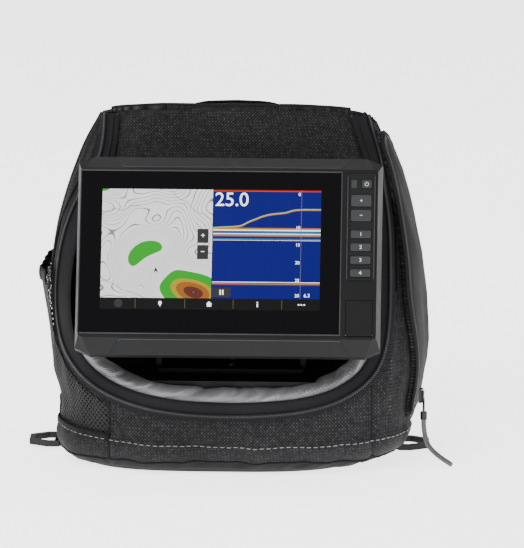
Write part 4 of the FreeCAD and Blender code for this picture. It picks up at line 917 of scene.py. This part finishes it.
def set_side_uv(mesh):
    """Lays the weave flat as seen from the side."""
    uvs = [mesh.vertices[loop.vertex_index].co.yz for loop in mesh.loops]
    mesh.uv_layers[0].data.foreach_set("uv", np.array(uvs, np.float32).ravel())


# ---------------------------------------------------------------- mesh pocket on the left

def make_mesh_pocket(moved, grid):
    """Net pocket from the left front seam to the back, loose at its elastic top edge."""
    high, back, rows = 0.165, 0.085, 46
    columns = [c for c in range(SEAM_COLUMNS[3], grid.shape[1]) if grid[60, c, 1] < back] + [0]
    net = np.zeros((rows + 1, len(columns), 3))
    outs = np.zeros_like(net)
    normal = grid_normals(grid)
    for k, c in enumerate(columns):
        levels = np.linspace(stitch_height(grid[0, c, 0]) + 0.001, high, rows + 1)
        for axis in range(3):
            net[:, k, axis] = np.interp(levels, moved[:, c, 2], moved[:, c, axis])
            outs[:, k, axis] = np.interp(levels, grid[:, c, 2], normal[:, c, axis])
    share = np.linspace(0, 1, rows + 1)[:, None]
    ends = np.minimum(np.arange(len(columns)), len(columns) - 1 - np.arange(len(columns)))
    wave = np.array([[ripple(c * 0.12, r * 0.03, 6) for c in columns] for r in range(rows + 1)])
    swell = 0.0009 + 0.0076 * share ** 2.2 * np.clip(ends / 14, 0, 1)[None] + 0.0014 * wave * share
    net += outs * np.maximum(swell, 0.0007)[..., None]
    centres = (net[:-1, :-1] + net[1:, 1:]) / 2
    keep = ~(inside(centres[..., [0, 2]], outline(-0.0085)) & (centres[..., 1] < 0.04))
    claim(grid_mesh("mesh_net", net, "mesh", keep, thick=0.0004), "bag", "mesh_pocket")
    last = int(np.flatnonzero(keep[-1])[-1]) + 1
    top = net[-1, :last] + outs[-1, :last] * 0.0004
    ribbon("mesh_elastic", top, (0, 0, 1), 0.012, 0.0014, "webbing", "bag", curl=0.0008, rows=4)
    foot = net[0] + outs[0] * 0.0006
    ribbon("mesh_hem", foot, (0, 0, 1), 0.006, 0.0008, "webbing", "bag", curl=0.0004, rows=3)


# ---------------------------------------------------------------- rings, handle and pull cord

def make_ring_tabs():
    """Webbing folded round each ring's bar, its two plies sewn to the bag."""
    bore, centre, tail = 0.0032, 0.0024 + 0.0025, 0.017
    for side, ring_x, word, node in ((-1, -0.163, "left", "d_ring_tabs"), (1, 0.155, "right", None)):
        line = [(ring_x - side * tail, centre + 0.0062), (ring_x - side * 0.008, centre + 0.0046)]
        line += [(ring_x - side * math.cos(a + math.pi) * bore, centre + math.sin(a) * bore)
                 for a in np.linspace(math.radians(70), math.radians(290), 18)]
        line += [(ring_x - side * 0.008, centre - 0.0028), (ring_x - side * tail, centre - 0.0028)]
        points = np.array([(x, 0, z) for x, z in line])
        ribbon(f"ring_tab_{word}", resample(points, 60), (0, 1, 0), 0.0245, 0.0013, "webbing", "bag",
               node, rows=6)
        places = points[0] + np.array([side * 0.004, 0, 0.0012])
        row = places + np.linspace(-0.011, 0.011, 30)[:, None] * np.array([0, 1, 0])
        up = np.tile((0, 0, 1.0), (30, 1))
        dashes(f"ring_tab_stitches_{word}", row, up, 0.003, 0.002, 0.0006, "webbing")


def make_handle():
    """Webbing carry handle across the sloping top, its ends sewn down with crossed stitches."""
    y = 0.076
    slope = math.hypot(1, ROOF_SLOPE)
    normal, across = np.array([0, ROOF_SLOPE, 1]) / slope, np.array([0, 1, -ROOF_SLOPE]) / slope
    half = [(0, 0.0142), (0.028, 0.0132), (0.040, 0.0105), (0.047, 0.0035), (0.053, 0), (0.075, 0)]
    line = round_corners([(-x, z) for x, z in half[:0:-1]] + half, 0.006, 0.001)
    base = np.array([0, y, roof_z(y) + 0.0036]) - normal * 0.0010
    points = base + line[:, 0][:, None] * np.array([1.0, 0, 0]) + line[:, 1][:, None] * normal
    ribbon("handle_webbing", points, across, 0.025, 0.0024, "webbing", "bag", "carry_handle",
           rows=6)
    box = [(0.056, -0.010), (0.073, -0.010), (0.073, 0.010), (0.056, 0.010), (0.056, -0.010)]
    path = round_corners(box + [(0.073, 0.010), (0.073, -0.010), (0.056, 0.010)], 0.0004, 0.0005)
    for side in (-1, 1):
        places = base + (side * path[:, 0])[:, None] * np.array([1.0, 0, 0]) + path[:, 1][:, None] * across
        dashes(f"handle_stitches_{side}", places + normal * 0.0013, np.tile(normal, (len(places), 1)), 0.003,
               0.0021, 0.0006, "webbing")


PULL_EXIT = Vector((0.1765, -0.046, 0.0391))
PULL_ROUTE = [(0, 0, 0), (0, 0, -0.015), (0.008, -0.0075, -0.030), (0.026, -0.023, -0.0367)]
PULL_RADIUS = 0.0023


def make_pull_cord():
    """Braided cord that hangs from the side zip's slider to the floor."""
    data = bpy.data.curves.new("pull_cord", "CURVE")
    data.dimensions = "3D"
    line = data.splines.new("NURBS")
    line.points.add(len(PULL_ROUTE) - 1)
    for point, step in zip(line.points, PULL_ROUTE):
        point.co = (*(PULL_EXIT + Vector(step)), 1)
    line.order_u = 3
    line.use_endpoint_u = True
    line.resolution_u = 24
    data.bevel_depth = PULL_RADIUS
    data.bevel_resolution = 5
    data.use_fill_caps = True
    data.materials.append(MATS["cord"])
    return claim(add_object("pull_cord", data), "side_slider", "side_zip_pull")


# ---------------------------------------------------------------- door, rolled up under its hem

def make_door():
    """Upper part of the front door, hanging from the ridge, with its zip edges and the roll behind its hem."""
    low, high, rows, columns = 0.2665, 0.3170, 40, 96
    edge = outline(0.0078, 900)
    left, right = edge[:450][::-1], edge[450:]
    grid = np.zeros((rows + 1, columns + 1, 3))
    for r in range(rows + 1):
        level = low + (high - low) * r / rows
        ends = [np.interp(level, side[:, 1], side[:, 0]) for side in (left, right)]
        xs = np.linspace(*ends, columns + 1)
        zs = low + (ridge_line(xs)[1] - 0.0006 - low) * r / rows
        ys = front_y(xs, zs, -0.0006)
        for c, (x, y, z) in enumerate(zip(xs, ys, zs)):
            beside = min(c, columns - c)
            free = min(1, beside / 10) * min(1, (rows - r) / 8)
            slant = (x + 1.2 * z) * 21
            fold = ripple(slant, z * 16, 12) + 0.4 * ripple(slant * 2.6, z * 50, 2)
            sag = 0.0012 * math.sin(math.pi * ((rows - r) / rows)) * min(1, beside / 26)
            grid[r, c] = x, y + free * 0.0034 * fold + sag, z
    piece = grid_mesh("door_panel", grid, "cloth", thick=0.0024, inner="inner")
    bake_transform(piece)
    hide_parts("door_flap")
    make_roll()
    for word, column, node in (("left", 1, "door_zip_tape"), ("right", -2, None)):
        line = resample(grid[2:-3, column] + np.array([0.0, -0.0012, 0]), 200)
        out = np.tile((0, -0.93, 0.35), (200, 1))
        coil(f"door_zip_{word}", line, out, "door")
        ribbon(f"door_zip_tape_{word}", line - out * 0.0006, (1, 0, 0), 0.013, 0.0009, "tape", "door",
               node)


def make_roll():
    """The rolled part of the door: a flattened spiral of cloth."""
    columns = 80
    turns = np.linspace(0, 2.6 * 2 * math.pi, 110)
    grid = np.zeros((len(turns), columns + 1, 3))
    for c, x in enumerate(np.linspace(-0.089, 0.091, columns + 1)):
        wave = 0.05 * ripple(x * 30, 1, 3)
        end = min(1, (min(c, columns - c) + 2) / 6)
        for r, turn in enumerate(turns):
            lump = 1 + wave + 0.05 * ripple(x * 22, turn * 0.9, 7)
            reach = max(0.0012, 0.0082 - 0.0021 * turn / (2 * math.pi)) * lump * (0.86 + 0.14 * end)
            grid[r, c] = x, 0.0005 + reach * math.cos(turn + 2.4), 0.2725 + reach * 0.96 * math.sin(turn + 2.4)
    claim(grid_mesh("door_roll", grid, "cloth", thick=0.0009), "door")


def make_ridge():
    """Piping along the ridge and down the two upper edges of the opening."""
    xs = np.linspace(-0.113, 0.106, 120)
    depth, height = ridge_line(xs)
    points = np.stack([xs, depth + 0.001, height + 0.0006], 1)
    points[:, 2] += np.array([0.0012 * ripple(x * 24, 2, 2) for x in xs])
    tube("ridge_piping", points, 0.0017, "tape", "bag")
    for name, inset, low, high, radius in (("outer", -0.0072, 0.16, 0.262, 0.0012),
                                           ("inner", 0.0066, 0.265, 0.306, 0.0014)):
        flat = under_ridge(outline(inset, 900))
        for side, word in ((-1, "left"), (1, "right")):
            x, z = flat[(flat[:, 1] > low) & (flat[:, 1] < high) & (np.sign(flat[:, 0]) == side)].T
            points = np.stack([x, front_y(x, z, SKIN) - 0.0012, z], 1)
            tube(f"edge_binding_{word}_{name}", points, radius, "tape", "bag")


# ---------------------------------------------------------------- stitches round the foot and the seams

def make_stitches(moved, grid):
    """Light stitches and piping round the foot, and piping and dark stitches at each seam."""
    line, outs = [], []
    normal = grid_normals(moved)
    for c in range(grid.shape[1]):
        z = stitch_height(grid[0, c, 0]) - 0.0024
        r = np.searchsorted(grid[:, c, 2], z)
        share = (z - grid[r - 1, c, 2]) / (grid[r, c, 2] - grid[r - 1, c, 2])
        line.append(moved[r - 1, c] * (1 - share) + moved[r, c] * share)
        outs.append(normal[r, c])
    line, outs = np.array(line + line[:1]), np.array(outs + outs[:1])
    dashes("foot_stitches", resample(line + outs * 0.0005, 4000), resample(outs, 4000), 0.0062, 0.0040, 0.0007,
           material="thread")
    level = np.argmin(np.abs(grid[:, :, 2] - 0.0138), axis=0)
    foot = np.array([moved[r, c] + normal[r, c] * 0.0001 for c, r in enumerate(level)])
    tube("foot_piping", foot, 0.0011, "tape", "bag", closed=True)
    for k, start in enumerate(SEAM_COLUMNS):
        seam = moved[(moved[:, start, 2] > 0.012) & (moved[:, start, 2] < 0.318), start]
        column = (start + (2 if k in (0, 2) else -2)) % moved.shape[1]
        keep = (moved[:, column, 2] > 0.036) & (moved[:, column, 2] < 0.318)
        beside, out = moved[keep, column], normal[keep, column]
        if k < 2:
            seam = seam[~inside(seam[:, [0, 2]], outline(-0.005))]
            clear = ~inside(beside[:, [0, 2]], outline(-0.012))
            beside, out = beside[clear], out[clear]
        tube(f"seam_piping_{k}", seam, 0.0009, "tape", "bag", sides=6)
        dashes(f"seam_stitches_{k}", resample(beside + out * 0.0002, 600), resample(out, 600), 0.0036, 0.0026,
               0.0005)


# ---------------------------------------------------------------- display: screen picture, key legends

TILT = math.radians(26)


def on_display(x, y, z):
    """A place given in the display's own frame in millimetres: x right, y into it, z up its face."""
    return Vector((x, -100 + y * math.cos(TILT) + z * math.sin(TILT),
                   205.6 - y * math.sin(TILT) + z * math.cos(TILT))) * MM


def screen_patch(name, shapes, material, lift, body="display_head"):
    """Flat faces just in front of the glass: one outline for each, in the display's millimetres."""
    flat = [place for shape in shapes for place in shape]
    ends = np.cumsum([0] + [len(shape) for shape in shapes])
    piece = add_mesh(name, [on_display(x, GLASS_FRONT - lift, z) for x, z in flat],
                     [tuple(range(a, b)) for a, b in zip(ends[:-1], ends[1:])],
                     np.array(flat, np.float32) * MM, material, smooth=False)
    return claim(piece, body)


GLASS_FRONT = 0.4
SCREEN = (-115.6, -52.55, 83.6, 59.55)
BAR_TOP = -42.0
KEY_X = 119.8
SPLIT = -14.6


def rect(x0, z0, x1, z1):
    return [(x0, z0), (x1, z0), (x1, z1), (x0, z1)]


def stroke(points, width):
    """A flat line of a given width as quads."""
    points = np.array(points, float)
    ahead = heading(points)
    side = np.stack([-ahead[:, 1], ahead[:, 0]], 1) * width / 2
    a, b = points + side, points - side
    return [[tuple(b[i]), tuple(b[i + 1]), tuple(a[i + 1]), tuple(a[i])] for i in range(len(points) - 1)]


def disc(x, z, radius, count=28):
    angles = [2 * math.pi * k / count for k in range(count)]
    return [(x + radius * math.cos(angle), z + radius * math.sin(angle)) for angle in angles]


def chart_material():
    """The chart: land heights as filled bands with thin contour lines."""
    shader = Shader("chart", (0.004, 0.004, 0.004), 0.3, specular=0.06)
    places = shader.mapped("UV", (1000, 1000, 1))
    ground = shader.node("ShaderNodeTexNoise", Scale=0.019, Detail=1.0)
    shader.join(places, ground.inputs["Vector"])
    level = shader.times(ground.outputs["Fac"], 0.62)
    for x, z, turn, wide, tall, weight in ((-74, -5, 0.4, 20, 17, 1.4), (-68, -13, 0.5, 13, 12, -1.9),
                                           (-32, -36, -0.35, 34, 17, 1.75), (-114, 62, 0.2, 9, 7, 1.0)):
        local = shader.node("ShaderNodeMapping", vector_type="TEXTURE", Location=(x, z, 0),
                            Rotation=(0, 0, turn), Scale=(wide, tall, 1))
        shader.join(places, local.inputs["Vector"])
        length = shader.node("ShaderNodeVectorMath", operation="LENGTH")
        shader.join(local.outputs["Vector"], length.inputs[0])
        fall = shader.times(shader.math("POWER", length.outputs["Value"], 2), -1)
        level = shader.plus(level, shader.times(shader.math("POWER", 2.718, fall), weight))
    fill = shader.ramp(shader.times(level, 0.45),
                       [(0.0, (0.8, 0.8, 0.8)), (0.285, (0.84, 0.84, 0.84)), (0.40, (0.0, 0.33, 0.0)),
                        (0.66, (0.42, 0.27, 0.0)), (0.76, (0.3, 0.09, 0.0)), (0.87, (0.09, 0.01, 0.0))])
    fill.node.color_ramp.interpolation = "CONSTANT"
    line = shader.math("LESS_THAN", shader.math("FRACT", shader.times(level, 44)), 0.14)
    shader.shine(shader.mix_color(shader.times(line, 0.85), fill, (0.1, 0.1, 0.1)), 1.7)
    return shader.mat


def sonar_material():
    """Deep blue water with the faint vertical banding of a sonar trace."""
    shader = Shader("sonar_water", (0.004, 0.004, 0.02), 0.4, specular=0.06)
    shader.shine(shader.ramp(shader.noise(500, 2, "UV", (1, 0.02, 1)),
                             [(0.3, (0.002, 0.0, 0.19)), (0.8, (0.003, 0.0, 0.23))]), 0.9)
    return shader.mat


def label(name, words, x, z, height, material, lift, align="LEFT", body="display_head", bold=0.0):
    """Numbers or signs as flat text on the display."""
    data = bpy.data.curves.new(name, "FONT")
    data.body, data.size = words, height * MM / 0.7
    data.align_x, data.offset = align, bold * MM
    text = add_object(name, data)
    bpy.context.view_layer.update()
    mesh = bpy.data.meshes.new_from_object(text)
    bpy.data.objects.remove(text)
    mesh.materials.clear()
    mesh.materials.append(MATS[material])
    piece = add_object(name, mesh)
    up, out = Vector((0, math.sin(TILT), math.cos(TILT))), Vector((0, -math.cos(TILT), math.sin(TILT)))
    turn = Matrix((Vector((1, 0, 0)), up, out)).transposed().to_4x4()
    piece.matrix_world = Matrix.Translation(on_display(x, GLASS_FRONT - lift, z)) @ turn
    return claim(piece, body)


def make_screen():
    """The lit picture: a chart on the left, a sonar trace on the right and a menu bar below."""
    for name, color, strength in (("black", (0.004, 0.004, 0.005), 0.3), ("white", (1, 1, 1), 2.2),
                                  ("grey", (0.05, 0.052, 0.056), 0.8), ("red", (0.6, 0.0, 0.0), 0.9),
                                  ("orange", (0.9, 0.22, 0.01), 0.9), ("yellow", (0.95, 0.8, 0.08), 0.9),
                                  ("cyan", (0.05, 0.5, 0.8), 0.8), ("pale", (0.3, 0.32, 0.5), 0.8),
                                  ("olive", (0.25, 0.24, 0.06), 0.8), ("ink", (0.01, 0.01, 0.012), 0.3)):
        MATS[f"screen_{name}"] = flat_glow(f"screen_{name}", color, strength)
    MATS["chart"], MATS["water"] = chart_material(), sonar_material()
    left, low, right, high = SCREEN
    edge = 0.3
    screen_patch("screen_back", [rect(left, low, right, high)], "screen_black", 0.03)
    screen_patch("screen_chart", [rect(left + edge, BAR_TOP, SPLIT - edge, high - edge)], "chart", 0.07)
    screen_patch("screen_sonar", [rect(SPLIT + edge, BAR_TOP, right - edge, high - edge)], "water", 0.07)
    make_chart_marks()
    make_sonar_marks(SPLIT + edge, right - edge, high - edge)
    make_menu_bar(low)


def make_chart_marks():
    """The boat, the roads and the two zoom signs on the chart."""
    boat = [(-65.5, -13.2), (-63.4, -18.6), (-65.5, -17.0), (-67.6, -18.6)]
    screen_patch("chart_boat", [boat], "screen_ink", 0.12)
    screen_patch("chart_boat_spot", [disc(-65.5, -15.8, 0.9)], "screen_orange", 0.11)
    roads = stroke([(-115, 36), (-104, 41), (-96, 39), (-88, 44), (-80, 43)], 0.4)
    roads += stroke([(-52, 58), (-47, 51), (-38, 47), (-30, 38), (-22, 36), (-15.5, 31)], 0.35)
    roads += stroke([(-115, -26), (-104, -29), (-95, -35), (-84, -38), (-76, -41.5)], 0.35)
    screen_patch("chart_roads", roads, "screen_ink", 0.1)
    for k, z in enumerate((16.0, 0.9)):
        screen_patch(f"chart_button_{k}", [rect(-28.4, z - 6.6, -18.2, z + 6.6)], "screen_grey", 0.1)
        label(f"chart_sign_{k}", "+−"[k], -23.3, z - 2.0, 5, "screen_white", 0.14, "CENTER")


def make_sonar_marks(x0, x1, top):
    """Surface clutter, the bottom's coloured bands and trace, the depth scale and its numbers."""
    bar = 65.6
    bands = {"red": [(top - 1.1, top), (-27.9, -26.9), (-29.4, -28.9)],
             "orange": [(top - 1.5, top - 1.1), (23.2, 23.9), (15.9, 16.4)],
             "white": [(21.1, 22.1), (18.0, 18.7), (-26.9, -26.4), (12.2, 12.5)],
             "cyan": [(19.6, 20.2), (13.4, 13.9)],
             "yellow": [(22.4, 23.0), (16.8, 17.4), (-28.5, -28.1)]}
    runs = {color: [rect(x0, low, x1, high) for low, high in levels] for color, levels in bands.items()}
    rise = [(0, 23.6), (8, 24.3), (20, 24.8), (26, 25.8), (32, 29.4), (38, 31.8), (45, 34.8), (52, 36.6),
            (58, 37.3), (66, 38.2), (73, 40.6)]
    path = round_corners([(x0 + x, z) for x, z in rise] + [(bar, 41.2), (x1, 41.3)], 3.0, 0.5)
    path[:, 1] += np.array([0.18 * ripple(x * 1.3, 4, 4) for x, _ in path])
    for color, drop, width in (("yellow", 0, 0.9), ("orange", -0.75, 0.45), ("cyan", 0.75, 0.3)):
        runs[color] += stroke(path + np.array([0, drop]), width)
    for k, (color, faces) in enumerate(runs.items()):
        screen_patch(f"sonar_screen_{color}", faces, f"screen_{color}", 0.10 + 0.01 * k)
    ticks = [rect(bar, BAR_TOP, bar + 0.3, top)]
    for k in range(31):
        z = 57.3 - k * 3.235
        ticks.append(rect(bar - (0.7 if k % 5 else 1.5), z - 0.1, bar, z + 0.1))
    screen_patch("sonar_scale", ticks, "screen_pale", 0.17)
    marks = (("0", 54.0), ("10", 23.0), ("15", 7.0), ("20", -9.6), ("25", -26.0), ("30", -40.2))
    for k, (words, z) in enumerate(marks):
        label(f"sonar_mark_{k}", words, bar - 0.8, z, 2.9, "screen_white", 0.2, "RIGHT", bold=0.03)
    label("sonar_depth", "25.0", x0 + 1.2, 44.2, 12.6, "screen_white", 0.2, bold=0.06)
    label("sonar_range", "6.3", bar + 3.4, -40.2, 3.2, "screen_white", 0.2, bold=0.03)
    screen_patch("sonar_pause_back", [rect(x0 + 0.8, -40.5, x0 + 17, -32)], "screen_grey", 0.11)
    pause = [rect(x0 + x, -38.6, x0 + x + 1.2, -34) for x in (7.0, 9.4)]
    screen_patch("sonar_pause", pause, "screen_white", 0.14)


def make_menu_bar(low):
    """Small signs along the bottom of the screen, with dividers between them."""
    middle = (low + BAR_TOP) / 2
    white = [[(-98.8, middle + 2.6), (-97.4, middle - 2), (-98.8, middle - 1), (-100.2, middle - 2)],
             disc(-61, middle + 0.8, 1.6, 16), [(-62.3, middle), (-61, middle - 2.8), (-59.7, middle)],
             [(-19.2, middle), (-16.5, middle + 2.6), (-13.8, middle)],
             rect(-18.4, middle - 2.4, -14.6, middle), rect(26.6, middle + 1.2, 27.8, middle + 2.4),
             rect(26.6, middle - 2.4, 27.8, middle + 0.5)]
    white += [disc(64.5 + 2.6 * k, middle, 0.75, 14) for k in range(3)]
    olive = [rect(x - 0.2, low + 1, x + 0.2, BAR_TOP - 1) for x in (-83.5, -38.6, 5.3, 49.3)]
    grey = [disc(-98.8, middle, 3.9)]
    for k, (color, faces) in enumerate((("white", white), ("olive", olive), ("grey", grey))):
        screen_patch(f"menu_screen_{color}", faces, f"screen_{color}", 0.08 + 0.03 * k)


def make_key_legends():
    """Signs on the keys: power, plus, minus and the preset numbers, white print made to glow as painted light.
    """
    proud = GLASS_FRONT + 0.9 + 0.06
    keys = [("zoom_in_key", "+", 49.9), ("zoom_out_key", "−", 36.1)]
    keys += [(f"preset_key_{k}", str(k), 18.6 - 12 * (k - 1)) for k in (1, 2, 3, 4)]
    for body, sign, z in keys:
        label(body + "_sign", sign, KEY_X, z - 1.5, 3.4, "legend", proud, "CENTER", body, 0.06)
    x, z, radius = 124.5, 65.5, 1.7
    arc = [(x + radius * math.cos(a), z + radius * math.sin(a))
           for a in np.linspace(math.radians(130), math.radians(410), 26)]
    faces = stroke(arc, 0.42) + [rect(x - 0.2, z + 0.3, x + 0.2, z + 2.3)]
    screen_patch("power_sign", faces, "legend", proud, "power_key")


# ---------------------------------------------------------------- hidden soft pieces, edges and painted edge highlights

def make_base_pad():
    """Foam pad in the bag's floor, under the battery tray: rounded, and slightly hollowed by its weight."""
    low, high = [np.array(corner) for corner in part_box("base_pad")]
    middle, half = (low + high) / 2, (high - low) / 2 - 0.0006
    rows, columns = 30, 96
    shape_x, shape_y = rounded_square(np.linspace(0, 2 * np.pi, columns, endpoint=False), 0.35)
    grid = []
    for share in (r / rows for r in range(rows + 1)):
        angle = math.pi * (share - 0.5)
        width = 1 - 0.03 * (1 - math.cos(angle) ** 0.5)
        if share in (0, 1):
            width = 0.02
        elif share < 0.2 or share > 0.8:
            width *= min(1, 0.02 + 0.98 * (min(share, 1 - share) / 0.2) ** 0.25)
        z = middle[2] + half[2] * max(-1, min(1, 1.25 * math.sin(angle)))
        dent = 0.0004 * (share > 0.6) * (1 - width)
        grid.append(np.stack([middle[0] + half[0] * width * shape_x, middle[1] + half[1] * width * shape_y,
                              np.full(columns, z - dent)], 1))
    piece = claim(grid_mesh("foam_pad", np.array(grid), "foam", wrap=True), "bag", "base_pad")


def soften_edges():
    """Small rounded edges that catch the light on the moulded parts."""
    for width, names in ((0.0007, ["front_bezel"]), (0.0006, ["top_trim_cap", "bottom_trim_cap", "base_tray"]),
                         (0.0005, ["tray_lid"]), (0.0004, ["key_surround", "card_door"])):
        for name in names:
            edge = NODES[name].modifiers.new("edges", "BEVEL")
            edge.width, edge.segments = width, 2
            edge.limit_method, edge.angle_limit = "ANGLE", math.radians(24)


def on_shell(node, x, z):
    """The place on a moulded part's face that lies in front of a point of the display."""
    tree = on_shell.trees.get(node)
    if tree is None:
        body = NODES[node]
        places = [body.matrix_world @ vertex.co for vertex in body.data.vertices]
        tree = BVHTree.FromPolygons(places, [list(face.vertices) for face in body.data.polygons])
        on_shell.trees[node] = tree
    start, end = on_display(x, -30, z), on_display(x, 30, z)
    return tree.ray_cast(start, (end - start).normalized())[0]


on_shell.trees = {}


def rim(name, node, corners, radius, closed=False):
    """A fine bead of pale plastic that follows corners over the face of a display part: a painted edge
    highlight.
    """
    path = np.array(corners + corners[:1] if closed else corners, float)
    length = curve_length(path)
    path = values_at(path, length, np.unique(np.concatenate([np.arange(0, length[-1], 3.0), length])))
    points = np.array([hit for hit in (on_shell(node, x, z) for x, z in path) if hit])
    tube(name, points[:-1] if closed else points, radius, "edge", "display_head", sides=6,
         closed=closed)


def make_rims():
    """Painted edge highlights as pale beads on the moulded front: round the glass, beside the keys and along
    the trim caps.
    """
    x, z, half_wide, half_tall = -16.5, 0.7, 118.6, 75.8
    glass = rect(x - half_wide, z - half_tall, x + half_wide, z + half_tall)
    rim("glass_edge_highlight", "front_bezel", glass, 0.0007, closed=True)
    for k, (side, cap) in enumerate(((-1, "bottom_trim_cap"), (1, "top_trim_cap"))):
        beside = KEY_X + side * 12.3
        rim(f"key_edge_highlight_{k}", "key_surround", [(beside, -24), (beside, 74.5)], 0.0006)
        inner, outer = 80.2 * side, 87.6 * side
        rim(f"cap_edge_highlight_{k}", cap, [(-105.0, outer), (-97.0, inner), (101.0, inner), (109.0, outer)], 0.0006)


def make_battery_strap():
    """Woven strap round the battery, closed on itself on top."""
    low, high = [np.array(corner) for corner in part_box("battery_strap")]
    inset = 0.0009
    y0, y1, z0, z1 = low[1] + inset, high[1] - inset, low[2] + inset, high[2] - inset
    corners = np.array([(0, z1), (y0, z1), (y0, z0), (y1, z0), (y1, z1), (0.004, z1)])
    corners[0, 0], corners[-1, 0] = (y0 + y1) / 2, (y0 + y1) / 2 + 0.004
    path = round_corners(corners, 0.0022, 0.0008)
    x = (low[0] + high[0]) / 2
    points = np.stack([np.full(len(path), x), path[:, 0], path[:, 1]], 1)
    ribbon("strap_webbing", points, (1, 0, 0), (high[0] - low[0]) * 0.98, 0.0013, "webbing", "bag",
           "battery_strap", rows=4)


# ---------------------------------------------------------------- build everything

make_camera()
make_studio()
for key, nodes in PAINT.items():
    for node_name in nodes:
        paint(node_name, key)
moved, grid = make_wall()
make_roof(moved)
make_front_zip()
make_lining()
make_side_pocket()
make_mesh_pocket(moved, grid)
make_ring_tabs()
make_handle()
make_door()
make_ridge()
make_stitches(moved, grid)
pull = make_pull_cord()
make_screen()
make_key_legends()
make_base_pad()
make_battery_strap()
make_rims()
soften_edges()
